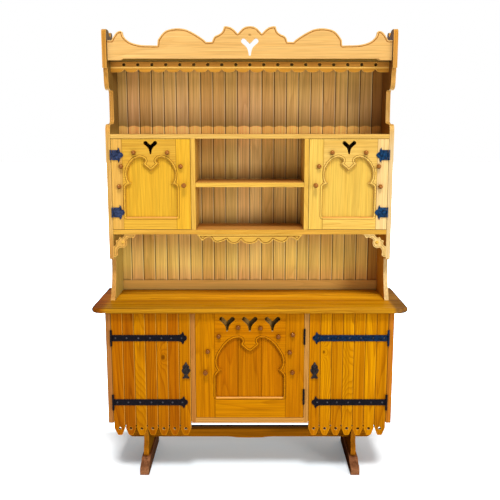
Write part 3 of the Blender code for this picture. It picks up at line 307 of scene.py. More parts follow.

    # Painted light and shade along the piece and on single faces, painted shade in corners, and
    # edges made paler by wear and by a painted highlight.
    # Painted light and shade in bands along an axis, some only on faces turned one way; the shadow ripple
    # waves the bands' edges along z.
    for axis, stops, *only in light_and_shade_bands:
        value = parts["xyz".index(axis)]
        if shadow_ripple and axis == "z":
            turn = calc(tree, "MULTIPLY", parts[0], math.pi / shadow_ripple[0])
            wave = calc(tree, "ABSOLUTE", calc(tree, "SINE", turn))
            value = calc(tree, "MULTIPLY_ADD", wave, shadow_ripple[1], value)
        tinted = shaded(tree, colour, value, stops)
        colour = blend(tree, facing(*only), colour, tinted) if only else tinted
    # Painted light and shade on faces by the way they are turned.
    for axis, way, tint in faces:
        colour = blend(tree, facing(axis, way), colour, stained(tree, colour, tint))
    # Painted shade: corners and recesses that ambient occlusion finds are darkened.
    corner = put(tree, "ShaderNodeAmbientOcclusion", {"Distance": reach}, samples=4).outputs["AO"]
    corner_shade_tint = (0.42, 0.30, 0.22)
    colour = blend(tree, spread(tree, corner, 0.2, 0.8, corner_shade, 0.0), colour, stained(tree, colour, corner_shade_tint))
    # Edges are made paler: wear, and a painted highlight where their rounding catches light.
    rub = put(tree, "ShaderNodeAmbientOcclusion", {"Distance": 0.0035}, samples=4, inside=True).outputs["AO"]
    worn_and_highlight = tuple(min(1.0, 1.35 * c + extra) for c, extra in zip(pale, (0.05, 0.035, 0.006)))
    colour = blend(tree, spread(tree, rub, rub_from, 0.93, edge_wear_and_highlight, 0.0), colour, worn_and_highlight)
    relief = calc(tree, "MULTIPLY_ADD", ring, 0.25, fibres)
    bump = put(tree, "ShaderNodeBump", {"Strength": 0.35, "Distance": 0.0006, "Height": relief})
    feed(tree, shader, {
        "Base Color": colour,
        "Roughness": spread(tree, fibres, 0.3, 0.7, gloss + 0.12, gloss - 0.05),
        "Specular IOR Level": shine,
        "Specular Tint": (1.0, 0.72, 0.35, 1),
        "Normal": bump.outputs[0],
    })
    return surface


def finish(names, surface):
    """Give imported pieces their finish."""
    for name in names:
        nodes[name].data.materials.clear()
        nodes[name].data.materials.append(surface)


# Painted light and shade: the inner faces of feet and posts are darkened, the right ones most, the toes'
# fronts are made paler, and the posts take deep painted shade in their corners.
foot_brown = ((0.26, 0.105, 0.045), (0.17, 0.062, 0.024), (0.055, 0.018, 0.006))
foot_front_light = ("y", -1, (1.25, 1.3, 1.35))
post_brown = ((0.50, 0.19, 0.010), (0.34, 0.11, 0.005), (0.13, 0.038, 0.002))
for label, inner_face_shade in (("left", ("x", 1, (0.45, 0.50, 0.60))), ("right", ("x", -1, (0.22, 0.16, 0.14)))):
    foot_pine = pine("foot_pine_" + label, *foot_brown, grain="yzx", seed=1.0, rings=18, shine=0.0, edge_wear_and_highlight=0.45,
                     streaks=1.0, faces=[inner_face_shade, foot_front_light])
    finish(["foot_" + label], foot_pine)
    post_pine = pine("post_pine_" + label, *post_brown, grain="zyx", seed=2.0, rings=18, shine=0.0, edge_wear_and_highlight=0.2,
                     reach=0.10, corner_shade=0.8, faces=[inner_face_shade])
    finish(["post_" + label], post_pine)
stretcher_brown = ((0.38, 0.130, 0.0020), (0.25, 0.077, 0.0010), (0.09, 0.026, 0.0004))
# A painted shadow darkens the top of the stretcher, under the carcass.
shadow_under_carcass = [(0.10, 1.0), (0.148, 0.9), (0.156, 0.25), (0.163, 0.1)]
stretcher_pine = pine("stretcher_pine", *stretcher_brown, grain="xzy", seed=3.0, rings=16, shine=0.03,
                      light_and_shade_bands=[("z", shadow_under_carcass)])
finish(["stretcher"], stretcher_pine)

# Base carcass. Two sides, two partitions, a bottom board, one shelf and a plywood back in tan
# stained pine. The front edges of sides, partitions and bottom show, rubbed paler than the doors;
# the partitions' and the bottom's front edges also carry painted light.
tan = ((0.47, 0.200, 0.048), (0.37, 0.140, 0.028), (0.24, 0.080, 0.013))
tan_left = ((0.40, 0.170, 0.045), (0.30, 0.110, 0.026), (0.16, 0.050, 0.010))
tan_right = ((0.50, 0.165, 0.012), (0.38, 0.120, 0.006), (0.20, 0.055, 0.004))
# The partitions' front edges carry painted light, darker on the left and paler on the right.
for label, seed, edge_wear_and_highlight, tones, edge in (("left", 4.3, 0.4, tan_left, (0.93, 0.89, 0.70)),
                                       ("right", 4.6, 0.2, tan_right, (1.12, 1.30, 1.25))):
    side_pine = pine("base_side_pine_" + label, *tones, grain="zyx", seed=seed, streaks=0.9, edge_wear_and_highlight=edge_wear_and_highlight)
    finish(["base_side_" + label], side_pine)
    partition_pine = pine("base_partition_pine_" + label, *tan, grain="zyx", seed=4.0, streaks=0.8,
                          faces=[("y", -1, edge)])
    finish(["base_partition_" + label], partition_pine)
# The bottom's and the shelf's front edges carry painted light.
level_pine = pine("base_level_pine", *tan, grain="xyz", seed=5.0, faces=[("y", -1, (1.12, 1.28, 1.15))])
finish(["base_bottom", "base_shelf"], level_pine)
sheet_start, sheet_width = -0.63, 0.21
base_back_pine = pine("base_back_pine", *tan, grain="zxy", seed=6.0, rings=14,
                      boards=(sheet_start, sheet_width), tone=0.08)
finish(["base_back"], base_back_pine)

# Worktop. Six long pine boards glued edge to edge, planed, rounded along the front and corners
# and stained amber; each board keeps its own tone, so dark and light bands run from end to end.
amber = ((0.67, 0.310, 0.0035), (0.46, 0.165, 0.0012), (0.11, 0.026, 0.0003))
worktop_front, worktop_board = -0.219, 0.073
worktop_tints = ((0.80, 0.70, 0.7), (1, 1, 1), (1.12, 1.14, 1.3))
# Across the depth: the lighter back boards and the darker front board are their tone, and the dark line under
# the hutch back is a painted shadow.
worktop_tone_and_shadow = [(-0.218, (0.84, 0.86, 3.5)), (-0.180, (0.82, 0.84, 3.0)), (-0.172, (0.82, 0.82, 1.2)),
                 (-0.046, (0.92, 0.84, 1.2)), (-0.038, (1.20, 1.24, 2.6)), (0.10, (1.14, 1.2, 2.6)),
                 (0.162, 0.85), (0.165, 0.25), (0.169, 0.25), (0.172, 0.85), (0.218, 0.85)]
# Along the length: the ends outside the hutch sides are painted darker, as shade and missing reflection.
worktop_end_shade = [(-0.712, (0.40, 0.21, 0.4)), (-0.665, (0.56, 0.38, 0.5)), (-0.640, 0.82), (-0.3, 0.92),
                 (0.0, 1.04), (0.640, 1.06), (0.655, (0.48, 0.50, 2.4)), (0.712, (0.44, 0.44, 2.6))]
worktop_pine = pine("worktop_pine", *amber, grain="xyz", boards=(worktop_front, worktop_board), seed=7.0,
                    rings=20, gloss=0.20, shine=0.004, edge_wear_and_highlight=0.12, streaks=1.0, tints=worktop_tints,
                    light_and_shade_bands=[("y", worktop_tone_and_shadow), ("x", worktop_end_shade)])
finish(["worktop"], worktop_pine)

# Lower plank doors. Seven grooved planks each, ledged behind, with drilled tongues that hang
# below the carcass. Orange stained pine; the arrises of the grooves are rubbed pale, and one side of
# each groove carries a painted highlight; the holes, drilled after the staining, show raw wood, with
# painted shade on their walls.


def front_of(node):
    """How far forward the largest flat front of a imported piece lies."""
    areas = {}
    for face in nodes[node].data.polygons:
        if face.normal.y < -0.99:
            key = round(face.center.y, 4)
            areas[key] = areas.get(key, 0) + face.area
    return max(areas, key=areas.get)


def joined(node):
    """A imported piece's mesh, its faces joined at their corners."""
    body_mesh = bmesh.new()
    body_mesh.from_mesh(nodes[node].data)
    bmesh.ops.remove_doubles(body_mesh, verts=body_mesh.verts[:], dist=0.00001)
    return body_mesh


def front_outlines(node):
    """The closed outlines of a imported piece's flat front, as points across and up, longest first."""
    body_mesh = joined(node)
    body_mesh.verts.index_update()
    face_y = front_of(node)
    front = [face for face in body_mesh.faces
             if face.normal.y < -0.99 and abs(face.calc_center_median().y - face_y) < 0.0001]
    in_front = set(front)
    steps = {}
    for face in front:
        for loop in face.loops:
            if sum(1 for other in loop.edge.link_faces if other in in_front) == 1:
                start, end = loop.vert, loop.link_loop_next.vert
                steps[start.index] = (end.index, (start.co.x, start.co.z))
    lines = []
    while steps:
        line = []
        at = next(iter(steps))
        while at in steps:
            at, point = steps.pop(at)
            line.append(point)
        lines.append(line)
    body_mesh.free()
    return sorted(lines, key=lambda line: -sum(math.dist(a, b) for a, b in zip(line, line[1:] + line[:1])))


def small_fronts(lines, limit=0.026):
    """Middles of the small round outlines on a front, where pegs and the knob stand."""
    spots = []
    for line in lines:
        xs, zs = [p[0] for p in line], [p[1] for p in line]
        if max(xs) - min(xs) < limit and max(zs) - min(zs) < limit:
            spots.append(((max(xs) + min(xs)) / 2, (max(zs) + min(zs)) / 2))
    return spots


def bored(body_mesh, outline, front, depth, material):
    """The core of a hole through a board, taken a hair larger so that its walls take another finish."""
    rings = [[body_mesh.verts.new((x, y, z)) for x, z in outline] for y in (front - 0.001, front + depth)]
    for i in range(len(outline)):
        j = (i + 1) % len(outline)
        body_mesh.faces.new((rings[0][i], rings[0][j], rings[1][j], rings[1][i])).material_index = material
    for ring in rings:
        body_mesh.faces.new(ring).material_index = material


def solid(title, body_mesh, surfaces):
    """Turn finished mesh work into an object with its finishes."""
    data = bpy.data.meshes.new(title)
    body_mesh.to_mesh(data)
    body_mesh.free()
    for surface in surfaces:
        data.materials.append(surface)
    thing = bpy.data.objects.new(title, data)
    studio.collection.objects.link(thing)
    return thing


def carved(node, title, body, surfaces, cuts):
    """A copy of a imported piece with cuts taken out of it; each cut's faces keep their own finish."""
    bmesh.ops.recalc_face_normals(cuts, faces=cuts.faces[:])
    cutter = solid(title + "_cutter", cuts, surfaces)
    blank = solid(title + "_blank", joined(node), surfaces)
    cut = blank.modifiers.new("cut", "BOOLEAN")
    cut.operation = "DIFFERENCE"
    cut.solver = "EXACT"
    cut.object = cutter
    cut.use_self = True
    cut.material_mode = "INDEX"
    made = bpy.data.meshes.new_from_object(blank.evaluated_get(bpy.context.evaluated_depsgraph_get()))
    made.name = title
    for spare in (cutter, blank):
        bpy.data.objects.remove(spare)
    piece = bpy.data.objects.new(title, made)
    studio.collection.objects.link(piece)
    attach(piece, body)
    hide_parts(node)


orange = ((0.53, 0.204, 0.0008), (0.42, 0.133, 0.0005), (0.19, 0.047, 0.0002))
# The painted highlight beside each plank groove.
arris_highlight_tone = (0.74, 0.40, 0.07)
plank_count = 7
plank_tones = {
    "left": ((0.77, 0.62, 1), (0.68, 0.52, 1), (0.94, 0.96, 1), (0.73, 0.60, 1), (0.83, 0.73, 1),
             (0.75, 0.61, 1), (0.91, 0.86, 1)),
    "right": ((0.98, 0.98, 1), (1.08, 1.18, 1), (0.96, 0.96, 1), (1.10, 1.20, 1), (1.02, 1.06, 1),
              (1.14, 1.26, 1), (1.0, 1.02, 1)),
}
plank_knots = {
    "left": ((0.575, 4.55, 0.012, 0.16), (0.655, 2.4, 0.075, 0.20), (0.505, 2.9, 0.060, 0.16)),
    "right": ((0.60, 1.3, 0.007, 0.22), (0.50, 3.5, 0.045, 0.3)),
}
plank_heights = [(0.20, (0.80, 0.74, 1)), (0.30, (0.88, 0.84, 1)), (0.48, 1.0), (0.785, 1.0)]
raw_tone = ((0.62, 0.38, 0.13), (0.50, 0.29, 0.09), (0.26, 0.13, 0.03))
# Painted shade on the holes' walls: all but the lowest, upturned wall are darkened.
hole_wall_shade = [("x", -1, (0.10, 0.08, 0.08)), ("x", 1, (0.30, 0.26, 0.24)), ("z", -1, (0.06, 0.05, 0.05))]
raw_pine = pine("raw_pine", *raw_tone, grain="yzx", seed=11.8, edge_wear_and_highlight=0.0, corner_shade=0.3, faces=hole_wall_shade)
widest_hole, hole_radius, hole_depth = 0.016, 0.0070, 0.03
turns = [math.pi * i / 8 for i in range(16)]
for label, seed, arris_highlight_share in (("left", 7.0, 0.55), ("right", 9.0, 0.15)):
    node = "lower_door_" + label
    low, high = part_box(node)
    plank = (high.x - low.x) / plank_count
    knots = [(up, low.x + planks * plank, size, pull) for up, planks, size, pull in plank_knots[label]]
    plank_pine = pine("plank_pine_" + label, *orange, boards=(low.x, plank), order=plank_tones[label],
                      seed=seed, knots=knots, edge_wear_and_highlight=0.45, rub_from=0.6, figured=0.5, shine=0.03,
                      lines=(0.0012, 0.95, arris_highlight_share, arris_highlight_tone), light_and_shade_bands=[("z", plank_heights)])
    holes = bmesh.new()
    for x, z in small_fronts(front_outlines(node), widest_hole):
        circle = [(x + hole_radius * math.cos(t), z + hole_radius * math.sin(t)) for t in turns]
        bored(holes, circle, front_of(node), hole_depth, 1)
    carved(node, node + "_carved", node, [plank_pine, raw_pine], holes)

# Black iron. Hinges, straps and pulls are hammered out of plate, blued and lacquered black, and
# held by domed screws: seven along each strap, three in each short leaf, two in each pull plate.


def iron(name, colour, dull=0.30):
    """Hammered black iron with small dents, greyer at its edges: wear, and a painted edge highlight."""
    surface, tree, shader = fresh(name)
    place = put(tree, "ShaderNodeTexCoord").outputs["Object"]
    dents = put(tree, "ShaderNodeTexVoronoi", {"Vector": place, "Scale": 130.0}, feature="SMOOTH_F1")
    scale_feeds = {"Vector": place, "Scale": 110.0, "Detail": 4.0, "Roughness": 0.6}
    scale = put(tree, "ShaderNodeTexNoise", scale_feeds).outputs[0]
    deep, bright = tuple(c * 0.3 for c in colour), tuple(c * 1.5 for c in colour)
    mixed = blend(tree, spread(tree, scale, 0.36, 0.66, 0.0, 1.0), deep, bright)
    rub = put(tree, "ShaderNodeAmbientOcclusion", {"Distance": 0.002}, samples=4, inside=True).outputs["AO"]
    # Greyer edges: wear, and a painted edge highlight.
    mixed = blend(tree, spread(tree, rub, 0.4, 0.85, 0.25, 0.0), mixed, (0.045, 0.050, 0.065))
    height = calc(tree, "MULTIPLY_ADD", scale, 0.3, dents.outputs["Distance"])
    bump = put(tree, "ShaderNodeBump", {"Strength": 0.8, "Distance": 0.0020, "Height": height})
    feed(tree, shader, {
        "Base Color": mixed,
        "Metallic": 0.0,
        "Specular IOR Level": 0.09,
        "Roughness": spread(tree, scale, 0.3, 0.7, dull - 0.06, dull + 0.12),
        "Normal": bump.outputs[0],
    })
    return surface


def turned(body_mesh, spot, profile, sides=14):
    """A round head on a face that looks forward; the profile runs from its back to its front."""
    turns = [2 * math.pi * i / sides for i in range(sides)]
    rings = []
    for radius, forward in profile:
        rings.append([body_mesh.verts.new((spot[0] + radius * math.cos(t), spot[1] - forward,
                                           spot[2] + radius * math.sin(t)))
                      for t in (turns if radius else turns[:1])])
    for back, front in zip(rings, rings[1:]):
        for i in range(sides):
            j = (i + 1) % sides
            loop = [back[i % len(back)], back[j % len(back)], front[j % len(front)], front[i % len(front)]]
            body_mesh.faces.new(list(dict.fromkeys(loop)))


def place_piece(title, body_mesh, surface, body, smooth=True):
    """Turn a finished mesh into a piece that moves with its body."""
    bmesh.ops.recalc_face_normals(body_mesh, faces=body_mesh.faces[:])
    piece = solid(title, body_mesh, [surface])
    if smooth:
        piece.data.shade_smooth()
    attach(piece, body)


def screwed(heads, leaf, side, spots):
    """Set screws in a hinge, each so far in from its outer end and so far above its middle."""
    low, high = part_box(leaf)
    outer = low.x if side < 0 else high.x
    for inward, up in spots:
        turned(heads, (outer - side * inward, front_of(leaf), (low.z + high.z) / 2 + up), screw_profile)


black_iron = iron("black_iron", (0.0030, 0.0020, 0.0050))
navy_iron = iron("navy_iron", (0.024, 0.036, 0.085))
# The right upper hinges' blue is brightened: blued iron, and partly a painted reflection.
reflecting_blue_iron = iron("reflecting_blue_iron", (0.005, 0.036, 0.098))
teal_iron = iron("teal_iron", (0.001, 0.013, 0.042))
pull_iron = iron("pull_iron", (0.022, 0.016, 0.015), 0.20)
screw_iron = iron("screw_iron", (0.050, 0.045, 0.050), 0.34)
iron_pieces = [name for name in nodes if "_hinge_" in name or "_pull_" in name]
for part_of_name, surface in (("", black_iron), ("upper_door_left", navy_iron),
                              ("upper_door_right", reflecting_blue_iron), ("lower_door_right_hinge_upper", teal_iron),
                              ("_pull_", pull_iron)):
    finish([name for name in iron_pieces if part_of_name in name], surface)
screw_profile = [(0, -0.001), (0.0040, -0.001), (0.0040, 0.0004), (0.0031, 0.0014), (0.0016, 0.0020),
                 (0, 0.0021)]
strap_screws = [(inward, 0.0) for inward in (0.024, 0.074, 0.128, 0.180, 0.232, 0.276, 0.322)]
leaf_screws = [(0.018, 0.012), (0.018, -0.012), (0.040, 0.0)]
plate_screws = (0.10, 0.80)
for side, label, leaf_iron in ((-1, "left", navy_iron), (1, "right", reflecting_blue_iron)):
    lower_heads, upper_heads = bmesh.new(), bmesh.new()
    for height in ("upper", "lower"):
        screwed(lower_heads, "lower_door_%s_hinge_%s" % (label, height), side, strap_screws)
        screwed(upper_heads, "upper_door_%s_hinge_%s" % (label, height), side, leaf_screws)
    plate = "lower_door_%s_pull_plate" % label
    low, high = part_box(plate)
    for share in plate_screws:
        spot = ((low.x + high.x) / 2, front_of(plate), low.z + share * (high.z - low.z))
        turned(lower_heads, spot, screw_profile)
    place_piece("lower_screws_" + label, lower_heads, screw_iron, "lower_door_" + label)
    place_piece("upper_screws_" + label, upper_heads, leaf_iron, "upper_door_" + label)

# Middle door. A mortised frame with level rails between upright stiles, sawn to a cusped opening
# with a rounded bead and an incised line round it, held by driven pegs, with a small turned knob.
# Three forked cut-outs are backed by a plain board; the panel behind is glued from three boards.


def resampled(line, spacing=0.0025):
    """A closed line with points close together."""
    points = []
    for a, b in zip(line, line[1:] + line[:1]):
        count = max(1, round(math.dist(a, b) / spacing))
        points += [(a[0] + (b[0] - a[0]) * i / count, a[1] + (b[1] - a[1]) * i / count) for i in range(count)]
    return points


def sideways_of(line, i, closed=True):
    """Unit direction across a line at one of its points, to the right of its run."""
    count = len(line)
    a = line[(i - 1) % count] if closed else line[max(i - 1, 0)]
    b = line[(i + 1) % count] if closed else line[min(i + 1, count - 1)]
    length = math.dist(a, b) or 1.0
    return (b[1] - a[1]) / length, -(b[0] - a[0]) / length


def offset(line, distance):
    """A closed line moved away from what it encloses, cleaned where it would fold over itself."""
    points = resampled(line)
    area = sum(a[0] * b[1] - b[0] * a[1] for a, b in zip(points, points[1:] + points[:1]))
    if area < 0:
        points.reverse()
    tree = kdtree.KDTree(len(points))
    for i, point in enumerate(points):
        tree.insert((point[0], point[1], 0), i)
    tree.balance()
    moved = []
    for i, point in enumerate(points):
        across = sideways_of(points, i)
        spot = (point[0] + distance * across[0], point[1] + distance * across[1])
        if tree.find((spot[0], spot[1], 0))[2] > abs(distance) * 0.97:
            if not moved or math.dist(moved[-1], spot) > 0.0012:
                moved.append(spot)
    return moved


def sweep(body_mesh, line, profile, face_y, material=0, closed=True):
    """Run a closed profile, given as offsets across and forward, along a line on a front face."""
    rings = []
    for i, point in enumerate(line):
        across = sideways_of(line, i, closed)
        rings.append([body_mesh.verts.new((point[0] + u * across[0], face_y - h, point[1] + u * across[1]))
                      for u, h in profile])
    pairs = list(zip(rings, rings[1:] + rings[:1])) if closed else list(zip(rings, rings[1:]))
    count = len(profile)
    for near, far in pairs:
        for i in range(count):
            face = body_mesh.faces.new((near[i], near[(i + 1) % count], far[(i + 1) % count], far[i]))
            face.material_index = material
    if not closed:
        for end in (rings[0], rings[-1]):
            body_mesh.faces.new(end).material_index = material


def incised(cuts, line, face_y, width, depth, closed=True):
    """A V cut along a line on a front face."""
    sweep(cuts, line, [(-width * 0.62, 0.0006), (width * 0.62, 0.0006), (0, -depth)], face_y, 1, closed)


def wedge(cuts, front, edge, height, depth, ends, way=1):
    """The sliver planed off a front edge, the lower one or, with way -1, the upper one."""
    proud, past = 0.001, 0.002
    rings = []
    for x, share in ends:
        rise, run = height * share, depth * share
        section = [(front - proud, edge + way * (rise + proud * height / depth)),
                   (front - proud, edge - way * past),
                   (front + run + past * depth / height, edge - way * past)]
        rings.append([cuts.verts.new((x, y, z)) for y, z in section])
    for near, far in zip(rings, rings[1:]):
        for i in range(3):
            j = (i + 1) % 3
            cuts.faces.new((near[i], near[j], far[j], far[i])).material_index = 2
    for ring in (rings[0], rings[-1]):
        cuts.faces.new(ring).material_index = 2


def stretch_of(line, wanted):
    """The stretch of a closed line that is wanted, run from one end to the other."""
    keep = [wanted(point) for point in line]
    start = next(i for i in range(len(line)) if keep[i] and not keep[i - 1])
    return [point for point in line[start:] + line[:start] if wanted(point)]


def cut_tone(name, colour):
    """The stained bottom of an incised line, darker in patches."""
    surface, tree, shader = fresh(name)
    place = put(tree, "ShaderNodeTexCoord").outputs["Object"]
    patchy = put(tree, "ShaderNodeTexNoise", {"Vector": place, "Scale": 90.0, "Detail": 3.0}).outputs[0]
    deep = tuple(c * 0.6 for c in colour)
    bump = put(tree, "ShaderNodeBump", {"Strength": 0.3, "Distance": 0.0005, "Height": patchy})
    feed(tree, shader, {
        "Base Color": blend(tree, spread(tree, patchy, 0.3, 0.7, 0.0, 1.0), deep, colour),
        "Roughness": 0.6,
        "Specular IOR Level": 0.1,
        "Normal": bump.outputs[0],
    })
    return surface


def peg_finish(name, seed, tones):
    """Turned pine, oiled until it shines, with painted shade on its underside and round its foot."""
    return pine(name, *tones, grain="yxz", seed=seed, rings=30, gloss=0.20, shine=0.5, edge_wear_and_highlight=0.0, corner_shade=1.0,
                reach=0.02, faces=[("z", -1, (0.30, 0.26, 0.26))])


def tinted_tones(tones, tint):
    """A wood's three tones, each multiplied by a tint."""
    return [tuple(c * part for c, part in zip(tone, tint)) for tone in tones]


bead_in_mm = [(-3.4, -3.0), (-3.4, 0.3), (-2.6, 1.1), (-1.2, 1.7), (0.4, 1.8), (1.9, 1.4), (3.0, 0.6),
              (3.4, -0.3), (3.4, -3.0)]
bead_profile = [(u / 1000, h / 1000) for u, h in bead_in_mm]
peg_profile = [(0, -0.002), (0.0098, -0.002), (0.0103, 0.0020), (0.0106, 0.0060), (0.0102, 0.0095),
               (0.0087, 0.0130), (0.0061, 0.0156), (0.0032, 0.0168), (0, 0.0172)]
knob_profile = [(0, -0.002), (0.0100, -0.002), (0.0100, 0.0012), (0.0076, 0.0030), (0.0066, 0.0090),
                (0.0072, 0.0140), (0.0098, 0.0180), (0.0110, 0.0215), (0.0106, 0.0250), (0.0074, 0.0272),
                (0, 0.0278)]
knob_clearance = [(0, 0.003), (0.0118, 0.003), (0.0118, 0.034), (0, 0.034)]
peg_brown = ((0.36, 0.125, 0.018), (0.25, 0.076, 0.009), (0.12, 0.030, 0.003))
quirk_from_edge, bead_from_edge, line_from_edge = 0.0016, 0.0060, 0.0104
quirk_width, quirk_depth = 0.0020, 0.0013
line_width, line_depth = 0.0024, 0.0015
sill_height, sill_depth = 0.0052, 0.0060
peg_reach, knob_least_rise, fork_least_width, frame_through = 0.009, 0.02, 0.03, 0.04


def pegged_door(node, body, surfaces, peg_surface):
    """The incised lines, bead, planed sill, pegs and knob of a panel door."""
    face_y = front_of(node)
    lines = front_outlines(node)
    arch = lines[1]
    sill = min(point[1] for point in arch)
    quirk, bead = (stretch_of(offset(arch, away), lambda point: point[1] > sill + 0.002)
                   for away in (quirk_from_edge, bead_from_edge))
    left, right = min(point[0] for point in arch) + 0.0005, max(point[0] for point in arch) - 0.0005
    cuts, pegs, knobs, beads = bmesh.new(), bmesh.new(), bmesh.new(), bmesh.new()
    incised(cuts, offset(arch, line_from_edge), face_y, line_width, line_depth)
    incised(cuts, quirk, face_y, quirk_width, quirk_depth, False)
    wedge(cuts, face_y, sill, sill_height, sill_depth, [(left, 1), (right, 1)], -1)
    for x, z in small_fronts(lines):
        rise = max(face_y - vert.co.y for vert in nodes[node].data.vertices
                   if math.dist((vert.co.x, vert.co.z), (x, z)) < peg_reach)
        if rise > knob_least_rise:
            turned(knobs, (x, face_y, z), knob_profile, 20)
            turned(cuts, (x, face_y, z), knob_clearance, 24)
        else:
            turned(pegs, (x, face_y, z), peg_profile, 16)
    for line in lines[2:]:
        if max(point[0] for point in line) - min(point[0] for point in line) > fork_least_width:
            bored(cuts, offset(line, 0.0004), face_y, frame_through, 3)
    carved(node, node + "_carved", body, surfaces, cuts)
    sweep(beads, bead, bead_profile, face_y, 0, False)
    place_piece(node + "_bead", beads, surfaces[0], body)
    place_piece(node + "_pegs", pegs, peg_surface, body)
    place_piece(node + "_knob", knobs, peg_surface, body)


def strip(low, high, eased=None):
    """A planed strip between two corners, its edges eased: all of them, or those that a test picks."""
    body_mesh = bmesh.new()
    bmesh.ops.create_cube(body_mesh, size=1.0)
    for vert in body_mesh.verts:
        for axis in range(3):
            vert.co[axis] = (low if vert.co[axis] < 0 else high)[axis]
    edges = [edge for edge in body_mesh.edges if eased is None or all(eased(vert.co) for vert in edge.verts)]
    bmesh.ops.bevel(body_mesh, geom=edges, offset=0.001, segments=2, profile=0.5, affect="EDGES")
    return body_mesh


middle_rails = (-0.1587, 0.1632)
middle_members = ((0.96, 0.95, 1), (0.89, 0.84, 1), (0.95, 0.91, 1), (0.96, 0.97, 1))
middle_frame_pine = pine("middle_frame_pine", *orange, frame_boards=middle_rails, joint=0.45,
                         members=middle_members, seed=11.0, edge_wear_and_highlight=0.12, shine=0.03)
middle_cut = cut_tone("middle_cut", (0.13, 0.032, 0.0004))
# The planed sill is painted pale, as the highlight on its upturned chamfer.
sill_highlight_tone = ((0.72, 0.36, 0.085), (0.62, 0.28, 0.055), (0.40, 0.14, 0.02))
sill_highlight_pine = pine("sill_highlight_pine", *sill_highlight_tone, grain="xzy", seed=11.5, edge_wear_and_highlight=0.0, corner_shade=0.0)
dark_peg_pine = peg_finish("dark_peg_pine", 31.5, tinted_tones(peg_brown, (0.62, 0.52, 0.40)))
pegged_door("middle_door_frame", "middle_door",
            [middle_frame_pine, middle_cut, sill_highlight_pine, raw_pine], dark_peg_pine)
low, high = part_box("middle_door_panel")
panel_boards = (low.x, (high.x - low.x) / 3)
panel_order = ((0.86, 0.74, 1), (0.85, 0.76, 1), (0.90, 0.82, 1))
glue_lines = (0.0016, 0.5, 0.3, (0.34, 0.095, 0.0006))
panel_pine = pine("middle_panel_pine", *orange, boards=panel_boards, order=panel_order, lines=glue_lines,
                  seed=12.0, rings=18, figured=0.4, shine=0.03)
finish(["middle_door_panel"], panel_pine)
backing = strip((-0.130, -0.1690, 0.690), (0.130, -0.1630, 0.776))
backing_brown = ((0.22, 0.125, 0.030), (0.13, 0.065, 0.014), (0.05, 0.022, 0.004))
lit_through = [(-0.13, 0.6)]
for fork in (-0.102, 0.0, 0.102):
    lit_through += [(fork - 0.027, 0.7), (fork - 0.021, (3.0, 3.1, 3.4)), (fork - 0.006, (2.2, 2.3, 2.4)),
                    (fork, 0.5)]
lit_through.append((0.13, 0.5))
backing_pine = pine("fork_backing_pine", *backing_brown, grain="xzy", seed=32.0, corner_shade=0.3,
                    light_and_shade_bands=[("x", lit_through)])
place_piece("middle_door_fork_backing", backing, backing_pine, "middle_door", False)

# Hutch. Two shaped sides, shelf, cupboard floor, niche shelf and partitions in golden pine,
# their front edges rubbed pale and carrying painted light; behind them tongued and grooved boards
# of mixed olive brown, painted with bands of light and shade, with a thin rail along their foot.
side_gold = ((0.60, 0.325, 0.070), (0.49, 0.24, 0.040), (0.31, 0.130, 0.018))
# Painted light and shade up the sides: on the front edges, changing with height and paler on the right, and
# on the inner faces, darker above the plate shelf and lighter below it.
left_edge_light = [(0.808, (0.90, 0.85, 1.05)), (1.10, (0.90, 0.85, 1.05)), (1.13, (1.05, 1.13, 1.45)),
             (1.55, (1.05, 1.13, 1.45)), (1.60, (1.10, 1.05, 1.15)), (1.88, (0.95, 0.85, 0.80)),
             (2.03, (0.87, 0.72, 0.50))]
left_inside_light = [(0.808, (0.97, 1.46, 1.7)), (1.56, (0.90, 1.3, 1.5)), (1.60, (0.47, 0.52, 0.55)),
               (1.85, (0.43, 0.46, 0.48)), (1.90, (0.3, 0.3, 0.3))]
right_edge_light = [(0.808, (1.2, 1.60, 3.6)), (1.10, (1.2, 1.6, 3.6)), (1.50, (1.26, 1.73, 4.3)),
              (1.60, (1.15, 1.3, 2.0)), (1.85, (1.02, 0.95, 1.0)), (2.03, (1.0, 0.80, 0.5))]
right_inside_light = [(0.808, (0.95, 0.80, 0.2)), (1.56, (0.80, 0.66, 0.3)), (1.60, (0.46, 0.33, 0.2)),
                (1.90, (0.3, 0.22, 0.2))]
for label, seed, inward, edge, inside in (("left", 13.0, 1, left_edge_light, left_inside_light),
                                          ("right", 13.6, -1, right_edge_light, right_inside_light)):
    side_pine = pine("hutch_side_pine_" + label, *side_gold, grain="zyx", seed=seed,
                     light_and_shade_bands=[("z", edge, "y", -1), ("z", inside, "x", inward)])
    finish(["hutch_side_" + label], side_pine)
gold = ((0.71, 0.430, 0.078), (0.61, 0.338, 0.048), (0.42, 0.195, 0.024))
partition_pine = pine("partition_pine", *gold, grain="zyx", seed=14.0)
finish(["hutch_partition_left", "hutch_partition_right"], partition_pine)
# The shelves' tops are painted darker as shade, and their front edges carry painted light and shade.
shelf_top_shade = ("z", 1, (0.72, 0.55, 0.65))
for name, edge in (("plate_shelf", (0.95, 0.98, 1.40)), ("cupboard_floor", (0.92, 0.84, 0.72)),
                   ("niche_shelf", (1, 1, 0.95))):
    shelf_pine = pine(name + "_pine", *gold, grain="xyz", seed=15.0, faces=[shelf_top_shade, ("y", -1, edge)])
    finish([name], shelf_pine)
